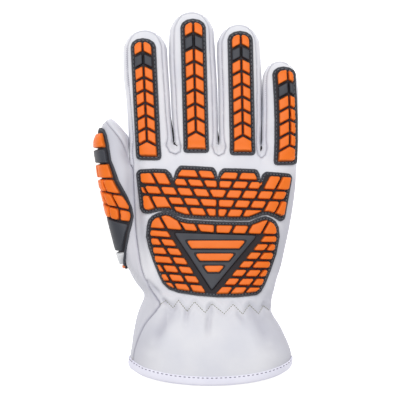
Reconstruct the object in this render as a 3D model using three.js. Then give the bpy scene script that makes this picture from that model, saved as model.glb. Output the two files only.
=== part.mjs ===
// Impact glove for the right hand, standing out as if a hand filled it and lying palm down.
// White leather panels meet at sewn seams, and moulded rubber pads are sewn on the back of the hand.
// Millimetres, +Z up, fingertips towards +Y, thumb towards -X, resting on Z = 0.
import * as THREE from 'three';

// Driving dimensions of the leather
const WALL = 1.5;
const SEAM_GAP = 0.3;
const TOP_POWER = 2.5;
const SOLE_POWER = 3.2;

// Driving dimensions of the rubber pads
const PAD_CLEARANCE = 0.55;
const PAD_BASE = 1.3;
const PAD_RIM = 2.4;
const BLOCK_HEIGHT = 3.2;
const BLOCK_DRAFT = 0.45;
const GROOVE = 1.0;
const SMALLEST_BLOCK = 0.5;
const PAD_LEAN = 3;

// Mesh density: quads across the back of a finger, across its side, and across the thumb
const FINGER_QUADS = 5;
const THUMB_QUADS = 5;

const LEATHER = { color: '#dfe1e8', roughness: 0.6, metalness: 0 };
const RUBBER = { color: '#f37a33', roughness: 0.5, metalness: 0 };

// Each finger: the tip, its seam angle, and a row for each section from the tip to the crotch
const FINGER_MID = 9.5;
const FINGER_TOP = 22;
const FINGER_SEAM = 44;
const FINGERS = [
  {
    name: 'index', tip: 115.2,
    rows: [
      { y: 100.4, left: -50.5, right: -20.0 },
      { y: 85.3, left: -50.2, right: -19.0 },
      { y: 70.2, left: -48.6, right: -18.0 },
      { y: 55.1, left: -47.4, right: -17.2 },
      { y: 41.4, left: -46.4, right: -15.9 },
    ],
  },
  {
    name: 'middle', tip: 127.8,
    rows: [
      { y: 112.0, left: -18.5, right: 12.6 },
      { y: 95.0, left: -18.7, right: 13.5 },
      { y: 77.8, left: -17.7, right: 14.5 },
      { y: 59.2, left: -16.8, right: 15.0 },
      { y: 41.4, left: -15.25, right: 15.2 },
    ],
  },
  {
    name: 'ring', tip: 119.1,
    rows: [
      { y: 103.7, left: 14.35, right: 44.2 },
      { y: 88.1, left: 14.8, right: 45.1 },
      { y: 72.3, left: 15.4, right: 44.8 },
      { y: 56.5, left: 15.6, right: 44.7 },
      { y: 41.4, left: 15.9, right: 44.3 },
    ],
  },
  {
    name: 'little', tip: 93.9,
    rows: [
      { y: 81.2, left: 45.9, right: 69.4 },
      { y: 70.9, left: 45.6, right: 70.8 },
      { y: 60.6, left: 45.5, right: 71.0 },
      { y: 50.3, left: 45.4, right: 71.0 },
      { y: 40.0, left: 45.1, right: 71.0 },
    ],
  },
];

// The web between two fingers: the bottom of the slit, and the foot of the side panel on the back
const CROTCHES = [
  { name: 'index_middle', slit: [-15.5, 37.9], foot: [-14.0, 30.6] },
  { name: 'middle_ring', slit: [15.5, 34.8], foot: [15.5, 29.3] },
  { name: 'ring_little', slit: [44.7, 33.0], foot: [44.9, 27.8] },
];

// The thumb: tip, and a row for each section with the angle of the seam that shows on top
const THUMB_TIP = 54.8;
const THUMB_MID = 11;
const THUMB_TOP = 24;
const THUMB_OUTER_ANGLE = 225;
const THUMB_INNER_ANGLE = -50;
const THUMB_DOME_SEAMS = [100, 90, 81];
const THUMB_ROWS = [
  { y: 41.4, left: -66.4, right: -47.2, seam: 72 },
  { y: 34.5, left: -66.4, right: -47.0, seam: 48 },
  { y: 27.6, left: -65.4, right: -46.8, seam: 30 },
];

// Hand and cuff: the main oval of each section, the seam on the back, and the lobe of the thumb
const HAND_ROWS = [
  { y: 29.7, left: -46.0, right: 70.1, seam: -44.2, mid: 11, top: 25.5, lift: 0 },
  { y: 21.4, left: -45.7, right: 69.4, seam: -43.6, mid: 12, top: 28.5, lift: 0, lobe: -64.6, lobeTop: 24, end: 30 },
  { y: 11.1, left: -45.4, right: 68.7, seam: -42.9, mid: 13, top: 31, lift: 0, lobe: -63.0, lobeTop: 25, end: 40 },
  { y: -1.2, left: -45.0, right: 67.1, seam: -42.4, mid: 13.5, top: 32.5, lift: 0, lobe: -60.2, lobeTop: 25, end: 52 },
  { y: -13.6, left: -44.6, right: 64.9, seam: -41.8, mid: 14, top: 33.5, lift: 0, lobe: -57.4, lobeTop: 25, end: 64 },
  { y: -26.0, left: -44.4, right: 62.5, seam: -40.9, mid: 14.5, top: 34, lift: 0, lobe: -54.2, lobeTop: 25, end: 76 },
  { y: -37.0, left: -44.2, right: 60.1, seam: -39.4, mid: 15, top: 34.5, lift: 0, lobe: -51.2, lobeTop: 25.5, end: 86 },
  { y: -46.6, left: -43.8, right: 58.0, seam: -37.8, mid: 15.5, top: 35, lift: 0, lobe: -47.6, lobeTop: 26.5, end: 96 },
  { y: -55.5, left: -42.9, right: 55.6, seam: -35.0, mid: 16.5, top: 36, lift: 0.5 },
  { y: -63.1, left: -37.0, right: 53.6, seam: -30.6, mid: 18, top: 37.5, lift: 1.5 },
  { y: -67.9, left: -35.7, right: 52.2, seam: -27.1, mid: 19, top: 38.3, lift: 2, gather: 0.3 },
  { y: -72.7, left: -37.6, right: 51.5, seam: -24.7, mid: 20, top: 38.9, lift: 2.5, gather: 1.0 },
  { y: -78.2, left: -39.8, right: 51.7, seam: -29.5, mid: 20.5, top: 41, lift: 2, gather: 1.3, bow: 2 },
  { y: -84.5, left: -41.4, right: 55.6, seam: -35.0, mid: 21.5, top: 44, lift: 1.5, gather: 1.0, bow: 4 },
  { y: -92.5, left: -42.8, right: 60.0, seam: -38.8, mid: 23, top: 47, lift: 1.5, gather: 0.5, bow: 6.5 },
  { y: -100.5, left: -43.8, right: 63.6, seam: -41.6, mid: 24, top: 49, lift: 1.8, gather: 0.2, bow: 9 },
  { y: -106.5, left: -44.9, right: 65.2, seam: -43.0, mid: 24.5, top: 50, lift: 2, bow: 11.5 },
  { y: -112.2, left: -45.6, right: 65.0, seam: -43.8, mid: 24.5, top: 50, lift: 2, bow: 13.2 },
];
const GATHER_COLUMNS = 3;
const BINDING = { thickness: 1.0, lip: 4.6 };

// Finger pads: the ends of the centre line, half the width, and the rows of blocks
const FINGER_CHANNEL = 1.2;
const CHEVRON_SLOPE = 0.53;
const FINGER_PADS = [
  { name: 'index', top: 110.2, topX: -36.3, foot: 26.6, footX: -33.0, half: 8.5, rows: 9 },
  { name: 'middle', top: 123.5, topX: -2.1, foot: 31.2, footX: 0.1, half: 8.6, rows: 9 },
  { name: 'ring', top: 115.1, topX: 30.6, foot: 30.2, footX: 32.3, half: 8.6, rows: 9 },
  { name: 'little', top: 90.5, topX: 60.9, foot: 23.2, footX: 61.2, half: 7.8, rows: 7 },
];

// Knuckle pad: a column for each point of its top and foot, three notches between the knuckles
const PAD_CENTRE = 14.9;
const KNUCKLE_SLANT = 0.5;
const KNUCKLE_FALL = { left: 0.057, right: 0.032 };
const KNUCKLE_ROWS = [
  { upper: 18, lower: 7.0, at: 12.5, cuts: [-46, -29.7, -19.4] },
  { upper: 18, lower: 7.0, at: 12.5, cuts: [48.2, 57.8, 72] },
  { upper: 23, lower: 13.3, at: 17.6, cuts: [-18, 0.6, 15.1] },
  { upper: 23, lower: 13.3, at: 17.6, cuts: [15.1, 30.2, 46] },
  { upper: 13.3, lower: 7.0, at: 10.2, cuts: [-16.4, -6.3, 5.0, 15.1, 25.0, 36.1, 45.4] },
  { upper: 7.0, lower: 0.1, at: 3.5, cuts: [-46, -36.0, -24.7, -13.5, -2.3, 9.2, 20.7, 31.7, 42.6, 53.4, 63.0, 75] },
  { upper: 0.1, lower: -20, at: -3.2, cuts: [-44, -30.1, -19.6] },
  { upper: 0.1, lower: -6.4, at: -3.2, cuts: [-19.6, -8.9, 2.5, 14.7, 26.4, 37.6, 48.5] },
  { upper: 0.1, lower: -20, at: -3.2, cuts: [48.5, 57.8, 72] },
  { upper: -6.4, lower: -20, at: -9.2, cuts: [-15.8, -4.9, 6.5, 14.3, 21.6, 32.5, 45] },
];
const KNUCKLE_COLUMNS = [
  { topX: -41.1, top: 17.3, footX: -38.1, foot: -7.8 },
  { topX: -39.2, top: 19.0, footX: -36.1, foot: -9.8 },
  { topX: -29.5, top: 20.0, footX: -28.2, foot: -8.6 },
  { topX: -19.6, top: 19.6, footX: -20.6, foot: -8.0 },
  { topX: -15.9, top: 14.6, footX: -17.2, foot: -9.5 },
  { topX: -13.1, top: 21.1, footX: -13.4, foot: -11.4 },
  { topX: -9.6, top: 22.4, footX: -9.6, foot: -12.6 },
  { topX: 1.4, top: 22.0, footX: 1.4, foot: -13.1 },
  { topX: 11.3, top: 21.2, footX: 11.0, foot: -13.6 },
  { topX: 14.9, top: 14.2, footX: 14.8, foot: -13.8 },
  { topX: 18.2, top: 20.3, footX: 17.9, foot: -14.0 },
  { topX: 30.2, top: 20.6, footX: 29.5, foot: -14.2 },
  { topX: 41.2, top: 20.3, footX: 38.5, foot: -13.8 },
  { topX: 44.8, top: 12.8, footX: 44.0, foot: -11.9 },
  { topX: 48.8, top: 18.1, footX: 48.8, foot: -11.1 },
  { topX: 57.0, top: 17.6, footX: 54.3, foot: -13.9 },
  { topX: 63.9, top: 16.5, footX: 59.4, foot: -15.6 },
  { topX: 65.7, top: 13.9, footX: 61.3, foot: -13.9 },
];

// Back pad: its columns, its sides by share of the height, and the triangle in its middle
const BACK_SLANT = 0.55;
const BACK_FALL = { left: 0.078, right: 0.02 };
const BACK_TOP_ROW = { upper: -5, lower: -24.2, at: -21, cuts: [-45, -22.2, -10.1, 0.7, 13.3, 25.5, 36.7, 47.4, 65] };
const BACK_LINES = [-24.2, -30.1, -35.9, -42.0, -48.0, -54.0, -60.0, -72];
const BACK_COUNTS = [1, 2, 2, 2, 3, 3, 3];
const BACK_STEPS = { left: [2.7, 12.3, 22.7, 40], right: [2.5, 11.3, 21.6, 40] };
const TRIANGLE = { left: [-16.6, -23.3], right: [43.6, -25.4], tip: [10.9, -64.4] };
const TRIANGLE_HEIGHT = 2.0;
const UPRIGHT_CUT = 2;
const BAR_MARGIN = 5.2;
const BAR_HEIGHT = 1.4;
const BARS = [
  { top: -29.0, foot: -35.5 },
  { top: -38.0, foot: -44.0 },
  { top: -46.5, foot: -52.0 },
];
const BACK_COLUMNS = [
  { topX: -33.3, top: -17.7, footX: -22.7, foot: -58.3 },
  { topX: -30.9, top: -13.1, footX: -21.0, foot: -61.3 },
  { topX: -26.8, top: -10.7, footX: -17.9, foot: -63.6 },
  { topX: -21.6, top: -9.4, footX: -13.1, foot: -65.0 },
  { topX: -16.5, top: -10.3, footX: -7.6, foot: -66.0 },
  { topX: -12.4, top: -13.0, footX: -2.7, foot: -66.6 },
  { topX: -7.9, top: -14.8, footX: 2.1, foot: -67.2 },
  { topX: 6.9, top: -15.3, footX: 8.9, foot: -67.9 },
  { topX: 22.0, top: -15.9, footX: 17.9, foot: -68.2 },
  { topX: 37.8, top: -16.1, footX: 27.5, foot: -68.0 },
  { topX: 42.6, top: -14.6, footX: 33.7, foot: -67.5 },
  { topX: 48.1, top: -13.2, footX: 38.5, foot: -66.7 },
  { topX: 52.2, top: -15.3, footX: 42.6, foot: -65.1 },
  { topX: 55.3, top: -18.5, footX: 45.7, foot: -61.7 },
];
const BACK_SIDES = [
  { share: 0 },
  { share: 0.22, left: -33.3, right: 57.6 },
  { share: 0.52, left: -29.6, right: 54.0 },
  { share: 0.82, left: -25.2, right: 49.4 },
  { share: 1 },
];

// Thumb pad: its inner edge seen from above, its outer edge by column, and its rows of blocks
const THUMB_FALL = 3.0;
const THUMB_PAD = [
  { y: 47.6, inner: -62.6, outer: 1.6 },
  { y: 44.8, inner: -61.0, outer: 0.8 },
  { y: 35.9, inner: -59.6, outer: 0.45 },
  { y: 26.2, inner: -58.3, outer: 0.35 },
  { y: 12.5, inner: -53.2, outer: 0.3 },
  { y: 0.8, inner: -47.7, outer: 0.3 },
  { y: -6.7, inner: -44.6, outer: 0.3 },
  { y: -12.2, inner: -43.7, outer: 0.3 },
  { y: -17.0, inner: -44.9, outer: 0.3 },
  { y: -23.9, inner: -46.6, outer: 0.35 },
  { y: -32.8, inner: -48.0, outer: 0.4 },
  { y: -40.4, inner: -48.4, outer: 0.5 },
  { y: -47.2, inner: -49.0, outer: 0.9 },
];
const THUMB_PAD_ROWS = [
  { top: 45.5, foot: 33.8, blocks: 1 },
  { top: 33.8, foot: 23.8, blocks: 1 },
  { top: 23.8, foot: 13.9, blocks: 2 },
  { top: 13.9, foot: 3.2, blocks: 3 },
  { top: 3.2, foot: -7.1, blocks: 4 },
  { top: -7.1, foot: -17.4, blocks: 4 },
  { top: -17.4, foot: -35.6, blocks: 1, height: 2.2 },
  { top: -35.6, foot: -44.6, blocks: 1, height: 2.2 },
];

const rad = THREE.MathUtils.degToRad;
const power = (value, exponent) => Math.sign(value) * Math.abs(value) ** (2 / exponent);

// A point at an angle round an oval section; 0 is the right side, 90 the back of the hand
function ovalPoint(oval, degrees) {
  const c = Math.cos(rad(degrees));
  const s = Math.sin(rad(degrees));
  const exponent = s >= 0 ? TOP_POWER : SOLE_POWER;
  const half = (oval.right - oval.left) / 2;
  const rise = s >= 0 ? oval.top - oval.mid : oval.mid - oval.lift;
  return new THREE.Vector3(
    (oval.right + oval.left) / 2 + half * power(c, exponent),
    oval.y,
    oval.mid + rise * power(s, exponent),
  );
}

// The same section of the hand by its X: its height on the back (side = 1) or the sole (side = -1).
// The edge is a quarter round, the back is crowned, and the sole lies flat.
const EDGE_SHARE = 0.75;
function handHeight(row, x, side) {
  const rise = side > 0 ? row.top - row.mid : row.mid - row.lift;
  const across = (2 * x - row.left - row.right) / (row.right - row.left);
  const depth = Math.max(0, Math.min(x - row.left, row.right - x));
  const edge = Math.sqrt(1 - (1 - Math.min(1, depth / rise)) ** 2);
  if (side < 0) return row.mid - rise * edge;
  return row.mid + rise * (EDGE_SHARE * edge + (1 - EDGE_SHARE) * (1 - across ** 2));
}

// The leather's outer surface is one welded mesh whose faces know their panel
const points = [];
const faces = [];
const addPoint = (point) => points.push(point) - 1;

// A strip of quads from an upper row of points to the next row below it; a quad may close to a triangle
function skin(upper, lower, panel) {
  for (let i = 0; i + 1 < upper.length; i++) {
    const corners = [upper[i], lower[i], lower[i + 1], upper[i + 1]];
    const distinct = corners.filter((id, k) => id !== corners[(k + 3) % 4]);
    if (distinct.length > 2) faces.push({ corners: distinct, panel });
  }
}

// Sections of a finger or thumb: the table's rows, after rows that close its round tip
const DOME_ANGLES = [56, 38, 19];
function digitSections(rows, tip, mid, top, domeSeams) {
  const first = { ...rows[0], mid, top, lift: 0 };
  const reach = tip - first.y;
  const centre = (first.left + first.right) / 2;
  const half = (first.right - first.left) / 2;
  const dome = DOME_ANGLES.map((angle, i) => {
    const scale = Math.cos(rad(angle));
    return {
      y: first.y + reach * Math.sin(rad(angle)),
      left: centre - half * scale,
      right: centre + half * scale,
      mid,
      top: mid + (top - mid) * scale,
      lift: mid - mid * scale,
      seam: domeSeams[i],
    };
  });
  return [...dome, ...rows.map((row) => ({ ...row, mid, top, lift: 0 }))];
}

const spread = (from, to, count) =>
  Array.from({ length: count + 1 }, (unused, i) => from + ((to - from) * i) / count);

// One loop of points round a digit: back, inner or right side, sole, outer or left side
function digitLoop(section, angles) {
  const loop = {};
  loop.back = spread(angles.backLeft, angles.backRight, angles.quads)
    .map((angle) => addPoint(ovalPoint(section, angle)));
  const [soleStart, ...soleRest] = spread(angles.soleLeft, angles.soleRight, angles.quads);
  const closed = soleStart + 360 === angles.backLeft;
  loop.sole = [closed ? loop.back[0] : addPoint(ovalPoint(section, soleStart))];
  for (const angle of soleRest) loop.sole.push(addPoint(ovalPoint(section, angle)));
  loop.rightMid = addPoint(ovalPoint(section, (angles.backRight + angles.soleRight) / 2));
  loop.leftMid = closed ? loop.back[0] : addPoint(ovalPoint(section, 180));
  return loop;
}

// The round end of a digit: a patch between the last back row and the last sole row
function closeTip(loop, sections, tip, panel) {
  const dome = sections[DOME_ANGLES.length];
  const half = (dome.right - dome.left) / 2;
  const centre = (dome.right + dome.left) / 2;
  const quads = loop.back.length - 1;
  const middle = loop.back.map((id, i) => {
    if (i === 0) return loop.leftMid;
    if (i === quads) return loop.rightMid;
    const start = points[loop.leftMid];
    const end = points[loop.rightMid];
    const point = start.clone().lerp(end, i / quads);
    const across = Math.min(0.95, Math.hypot((point.x - centre) / half,
      (point.z - dome.mid) / (dome.top - dome.mid)));
    point.y = dome.y + (tip - dome.y) * Math.sqrt(1 - across ** 2);
    return addPoint(point);
  });
  skin(middle, loop.back, panel);
  skin(loop.sole, middle, panel);
}

// Fingers, each a run of loops from the tip to the station above the crotch
const fingerLoops = FINGERS.map((finger) => {
  const sections = digitSections(finger.rows, finger.tip, FINGER_MID, FINGER_TOP, []);
  const angles = {
    backLeft: 180 - FINGER_SEAM, backRight: FINGER_SEAM,
    soleLeft: FINGER_SEAM - 180, soleRight: -FINGER_SEAM, quads: FINGER_QUADS,
  };
  const loops = sections.map((section) => digitLoop(section, angles));
  closeTip(loops[0], sections, finger.tip, 'palm_panel');
  return loops;
});

// The thumb, whose seams turn round it from the tip to the web
const thumbSections = digitSections(THUMB_ROWS, THUMB_TIP, THUMB_MID, THUMB_TOP, THUMB_DOME_SEAMS);
const thumbLoops = thumbSections.map((section) => digitLoop(section, {
  backLeft: THUMB_OUTER_ANGLE, backRight: section.seam,
  soleLeft: THUMB_OUTER_ANGLE - 360, soleRight: THUMB_INNER_ANGLE, quads: THUMB_QUADS,
}));
closeTip(thumbLoops[0], thumbSections, THUMB_TIP, 'thumb_front');

// Where the columns of the back and sole stand across the hand, as shares from seam to seam
const RIGHT_SEAM_INSET = 4;
const SOLE_SEAM_INSET = 4;
const crownRow = HAND_ROWS[0];
const feet = [crownRow.seam, ...CROTCHES.map((web) => web.foot[0]), crownRow.right - RIGHT_SEAM_INSET];
const shares = [0];
for (let i = 0; i + 1 < feet.length; i++) {
  const ends = [feet[i], feet[i + 1]].map((x) => (x - feet[0]) / (feet[feet.length - 1] - feet[0]));
  shares.push(...spread(ends[0], ends[1], FINGER_QUADS).slice(1));
}

// Gathers stand out on every third column of the back, and the hem bows down in the middle
function settle(point, row, column, gathered) {
  const across = (2 * point.x - row.left - row.right) / (row.right - row.left);
  point.y -= (row.bow ?? 0) * Math.max(0, 1 - across ** 2);
  if (!gathered || !row.gather) return point;
  const out = new THREE.Vector3(across * (row.top - row.lift), 0, point.z - row.mid).normalize();
  return point.addScaledVector(out, row.gather * Math.cos((2 * Math.PI * column) / GATHER_COLUMNS));
}

// The columns beside the back's left seam: the lobe of the thumb, or the narrow side of the wrist
const LOBE_SOLE_ANGLE = -70;
function thumbColumns(row, backSeam, soleSeam) {
  const lobe = row.lobe !== undefined;
  const half = lobe ? (row.seam - row.lobe) / (1 + power(Math.cos(rad(row.end)), TOP_POWER)) : 0;
  const oval = { ...row, left: row.lobe, right: row.lobe + 2 * half, top: row.lobeTop };
  const column = (side, seamId) => {
    const [from, to] = side > 0 ? [THUMB_OUTER_ANGLE, row.end] : [THUMB_OUTER_ANGLE - 360, LOBE_SOLE_ANGLE];
    const seam = points[seamId];
    const raw = spread(0, 1, THUMB_QUADS).map((t) => {
      if (lobe) return ovalPoint(oval, from + (to - from) * t);
      const x = row.left + (seam.x - row.left) * (1 - Math.cos((t * Math.PI) / 2));
      return new THREE.Vector3(x, row.y, handHeight(row, x, side));
    }).map((point, i) => settle(point, row, i - THUMB_QUADS, side > 0 && i > 0));
    const miss = seam.clone().sub(raw.at(-1));
    return raw.map((point, i) => (i === THUMB_QUADS ? seamId
      : addPoint(point.addScaledVector(miss, (i / THUMB_QUADS) ** 2))));
  };
  const back = column(1, backSeam);
  const sole = column(-1, soleSeam);
  sole[0] = back[0];
  return { back, sole };
}

// Each row of the hand: back and sole from seam to seam, the two sides, and the thumb's columns
const handLoops = HAND_ROWS.map((row, k) => {
  const rightSeam = row.right - RIGHT_SEAM_INSET;
  const loop = {};
  for (const [name, side] of [['back', 1], ['sole', -1]]) {
    const leftSeam = side > 0 ? row.seam : row.seam + SOLE_SEAM_INSET;
    loop[name] = shares.map((share, column) => {
      const x = leftSeam + (rightSeam - leftSeam) * share;
      const point = new THREE.Vector3(x, row.y, handHeight(row, x, side));
      const web = CROTCHES[column / FINGER_QUADS - 1];
      if (k === 0 && web) point.y = web.foot[1];
      return addPoint(settle(point, row, column, side > 0));
    });
  }
  loop.rightMid = addPoint(ovalPoint(row, 0));
  if (k < 2) loop.leftMid = addPoint(ovalPoint(row, 180));
  if (k > 0) loop.thumb = thumbColumns(row, loop.back[0], loop.sole[0]);
  return loop;
});

// Fingers join the first row of the hand, with a web and a side panel between each two
const fingerColumns = (row, i) => row.slice(i * FINGER_QUADS, (i + 1) * FINGER_QUADS + 1);
const webs = CROTCHES.map((web, i) => {
  const foot = (i + 1) * FINGER_QUADS;
  return [handLoops[0].back[foot],
    addPoint(new THREE.Vector3(web.slit[0], web.slit[1], FINGER_MID)), handLoops[0].sole[foot]];
});
fingerLoops.forEach((loops, i) => {
  const leftPanel = i === 0 ? 'palm_panel' : `fourchette_${CROTCHES[i - 1].name}`;
  const rightPanel = i === 3 ? 'back_panel' : `fourchette_${CROTCHES[i].name}`;
  const root = handLoops[0];
  const foot = {
    back: fingerColumns(root.back, i),
    sole: fingerColumns(root.sole, i),
    leftMid: i === 0 ? root.leftMid : webs[i - 1][1],
    rightMid: i === 3 ? root.rightMid : webs[i][1],
  };
  const rows = [...loops, foot];
  const side = (loop, mid, end) => [loop.back.at(end), loop[mid], loop.sole.at(end)];
  for (let r = 0; r + 1 < rows.length; r++) {
    skin(rows[r].back, rows[r + 1].back, 'back_panel');
    skin([...rows[r].sole].reverse(), [...rows[r + 1].sole].reverse(), 'palm_panel');
    skin(side(rows[r], 'rightMid', -1), side(rows[r + 1], 'rightMid', -1), rightPanel);
    skin(side(rows[r], 'leftMid', 0).reverse(), side(rows[r + 1], 'leftMid', 0).reverse(), leftPanel);
  }
});

// The thumb joins the second row of the hand
const thumbRows = [...thumbLoops, {
  back: handLoops[1].thumb.back, sole: handLoops[1].thumb.sole, rightMid: handLoops[1].leftMid,
}];
for (let r = 0; r + 1 < thumbRows.length; r++) {
  const [upper, lower] = [thumbRows[r], thumbRows[r + 1]];
  skin(upper.back, lower.back, 'thumb_back');
  skin([upper.back.at(-1), upper.rightMid, ...[...upper.sole].reverse()],
    [lower.back.at(-1), lower.rightMid, ...[...lower.sole].reverse()], 'thumb_front');
}

// The hand and the cuff, down to the hem
const THUMB_FOOT_ROW = 7;
for (let k = 0; k + 1 < handLoops.length; k++) {
  const [upper, lower] = [handLoops[k], handLoops[k + 1]];
  const wrapped = (loop) => [...loop.back, loop.rightMid, loop.sole.at(-1)];
  skin(wrapped(upper), wrapped(lower), 'back_panel');
  skin([...upper.sole].reverse(), [...lower.sole].reverse(), 'palm_panel');
  if (k === 0) {
    const side = (loop) => [loop.sole[0], loop.leftMid, loop.back[0]];
    skin(side(upper), side(lower), 'palm_panel');
  } else {
    skin(upper.thumb.back, lower.thumb.back, 'thumb_back');
    skin([...upper.thumb.sole].reverse(), [...lower.thumb.sole].reverse(),
      k < THUMB_FOOT_ROW ? 'thumb_front' : 'palm_panel');
  }
}

// Smooth normals of the welded surface
const faceNormals = faces.map(({ corners }) => {
  const normal = new THREE.Vector3();
  for (let i = 1; i + 1 < corners.length; i++) {
    const a = points[corners[i]].clone().sub(points[corners[0]]);
    const b = points[corners[i + 1]].clone().sub(points[corners[0]]);
    normal.add(a.cross(b));
  }
  return normal;
});
const normals = points.map(() => new THREE.Vector3());
faces.forEach(({ corners }, f) => corners.forEach((id) => normals[id].add(faceNormals[f])));
normals.forEach((normal) => normal.normalize());

// A closed mesh from a list of corners and a list of outward polygons
function solidGeometry(vertices, polygons) {
  const geometry = new THREE.BufferGeometry();
  geometry.setAttribute('position', new THREE.Float32BufferAttribute(vertices.flatMap((v) => v.toArray()), 3));
  const index = polygons.flatMap((polygon) =>
    polygon.slice(2).flatMap((id, i) => [polygon[0], polygon[i + 1], id]));
  geometry.setIndex(index);
  geometry.computeVertexNormals();
  return geometry;
}

// One leather panel: its faces, the same faces a wall's thickness inside, and its cut edges,
// drawn back along the surface by half the seam's gap
function panelGeometry(panel) {
  const own = faces.filter((face) => face.panel === panel);
  const halfEdges = new Set(own.flatMap(({ corners }) =>
    corners.map((id, i) => `${id} ${corners[(i + 1) % corners.length]}`)));
  const edges = [...halfEdges].map((edge) => edge.split(' ').map(Number))
    .filter(([a, b]) => !halfEdges.has(`${b} ${a}`));
  const inward = new Map();
  for (const [a, b] of edges) {
    for (const id of [a, b]) {
      const along = points[b].clone().sub(points[a]).normalize();
      const step = normals[id].clone().cross(along).normalize();
      inward.set(id, [...(inward.get(id) ?? []), step]);
    }
  }
  const ids = [...new Set(own.flatMap(({ corners }) => corners))];
  const place = new Map(ids.map((id, i) => [id, i]));
  const outer = ids.map((id) => {
    const point = points[id].clone();
    if (!inward.has(id)) return point;
    const [first, second] = inward.get(id);
    const mitre = Math.max(0.35, 1 + first.dot(second));
    return point.addScaledVector(first.clone().add(second), SEAM_GAP / 2 / mitre);
  });
  const inner = ids.map((id, i) => outer[i].clone().addScaledVector(normals[id], -WALL));
  const count = ids.length;
  const polygons = own.flatMap(({ corners }) => {
    const [first, ...rest] = corners.map((id) => place.get(id));
    return [[first, ...rest], [first, ...rest.reverse()].map((i) => i + count)];
  });
  // Both panels at a seam split each quad of the cut edge along the same diagonal
  for (const [a, b] of edges) {
    const [from, to] = [place.get(a), place.get(b)];
    polygons.push(a < b ? [from, from + count, to + count, to] : [to, from, from + count, to + count]);
  }
  return solidGeometry([...outer, ...inner], polygons);
}

const group = new THREE.Group();
function addMesh(name, geometry, finish) {
  const mesh = new THREE.Mesh(geometry, new THREE.MeshStandardMaterial(finish));
  mesh.name = name;
  group.add(mesh);
}
for (const panel of new Set(faces.map((face) => face.panel))) {
  addMesh(panel, panelGeometry(panel), LEATHER);
}

// The leather's surface under a point of the plan: its height and its smooth normal
const upFaces = [];
faces.forEach(({ corners }, f) => {
  if (faceNormals[f].z <= 0) return;
  for (let i = 1; i + 1 < corners.length; i++) upFaces.push([corners[0], corners[i], corners[i + 1]]);
});
function leatherAt(x, y) {
  let best = null;
  for (const ids of upFaces) {
    const [a, b, c] = ids.map((id) => points[id]);
    const area = (b.x - a.x) * (c.y - a.y) - (c.x - a.x) * (b.y - a.y);
    if (Math.abs(area) < 1e-9) continue;
    const wb = ((x - a.x) * (c.y - a.y) - (c.x - a.x) * (y - a.y)) / area;
    const wc = ((b.x - a.x) * (y - a.y) - (x - a.x) * (b.y - a.y)) / area;
    const wa = 1 - wb - wc;
    if (Math.min(wa, wb, wc) < -1e-6) continue;
    const z = wa * a.z + wb * b.z + wc * c.z;
    if (best && best.point.z > z) continue;
    const normal = new THREE.Vector3();
    ids.forEach((id, i) => normal.addScaledVector(normals[id], [wa, wb, wc][i]));
    best = { point: new THREE.Vector3(x, y, z), normal: normal.normalize() };
  }
  return best;
}

// Places a point of a pad at a height over the leather, so that the pad's top shows at that X and Y
const overLeather = (x, y, height) => {
  const tilt = leatherAt(x, y).normal;
  const { point, normal } = leatherAt(x - tilt.x * PAD_LEAN, y - tilt.y * PAD_LEAN);
  return point.addScaledVector(normal, height);
};

// Outlines are lists of [u, v] that run anticlockwise
const signedArea = (outline) => outline.reduce((sum, [x, y], i) => {
  const [nextX, nextY] = outline[(i + 1) % outline.length];
  return sum + (x * nextY - nextX * y) / 2;
}, 0);
const anticlockwise = (outline) => (signedArea(outline) < 0 ? [...outline].reverse() : outline);

// An outline drawn in by a distance, with its corners mitred
function drawnIn(outline, distance) {
  const count = outline.length;
  return outline.map(([x, y], i) => {
    const [px, py] = outline[(i + count - 1) % count];
    const [nx, ny] = outline[(i + 1) % count];
    const before = new THREE.Vector2(py - y, x - px).normalize();
    const after = new THREE.Vector2(y - ny, nx - x).normalize();
    const mitre = Math.max(0.5, 1 + before.dot(after));
    return [x + ((before.x + after.x) * distance) / mitre, y + ((before.y + after.y) * distance) / mitre];
  });
}

// The part of an outline that lies inside a convex cell
function clipped(outline, cell) {
  let result = outline;
  cell.forEach(([ax, ay], i) => {
    const [bx, by] = cell[(i + 1) % cell.length];
    const side = ([x, y]) => (bx - ax) * (y - ay) - (by - ay) * (x - ax);
    const kept = [];
    result.forEach((current, k) => {
      const previous = result[(k + result.length - 1) % result.length];
      const [from, to] = [side(previous), side(current)];
      if ((from < 0) !== (to < 0)) {
        const t = from / (from - to);
        kept.push([previous[0] + (current[0] - previous[0]) * t, previous[1] + (current[1] - previous[1]) * t]);
      }
      if (to >= 0) kept.push(current);
    });
    result = kept;
  });
  return result;
}

// An outline without short sides, spikes and corners that lie on a straight line
const SHORTEST_SIDE = 0.8;
const FLATTEST_CORNER = 0.4;
function tidied(outline) {
  const kept = outline.filter(([x, y], i) => {
    const [nextX, nextY] = outline[(i + 1) % outline.length];
    return Math.hypot(nextX - x, nextY - y) > SHORTEST_SIDE;
  });
  const flat = kept.findIndex((corner, i) => Math.abs(signedArea(
    [kept[(i + kept.length - 1) % kept.length], corner, kept[(i + 1) % kept.length]])) < FLATTEST_CORNER);
  return flat < 0 || kept.length < 4 ? kept : tidied(kept.filter((corner, i) => i !== flat));
}

// The cells round the edge of a grid, anticlockwise from its top left corner
function rimOf(grid) {
  const left = grid.map((row) => row[0]);
  const right = grid.map((row) => row.at(-1)).reverse();
  return [...left.slice(0, -1), ...grid.at(-1).slice(0, -1), ...right.slice(0, -1),
    ...[...grid[0]].reverse().slice(0, -1)];
}

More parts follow.
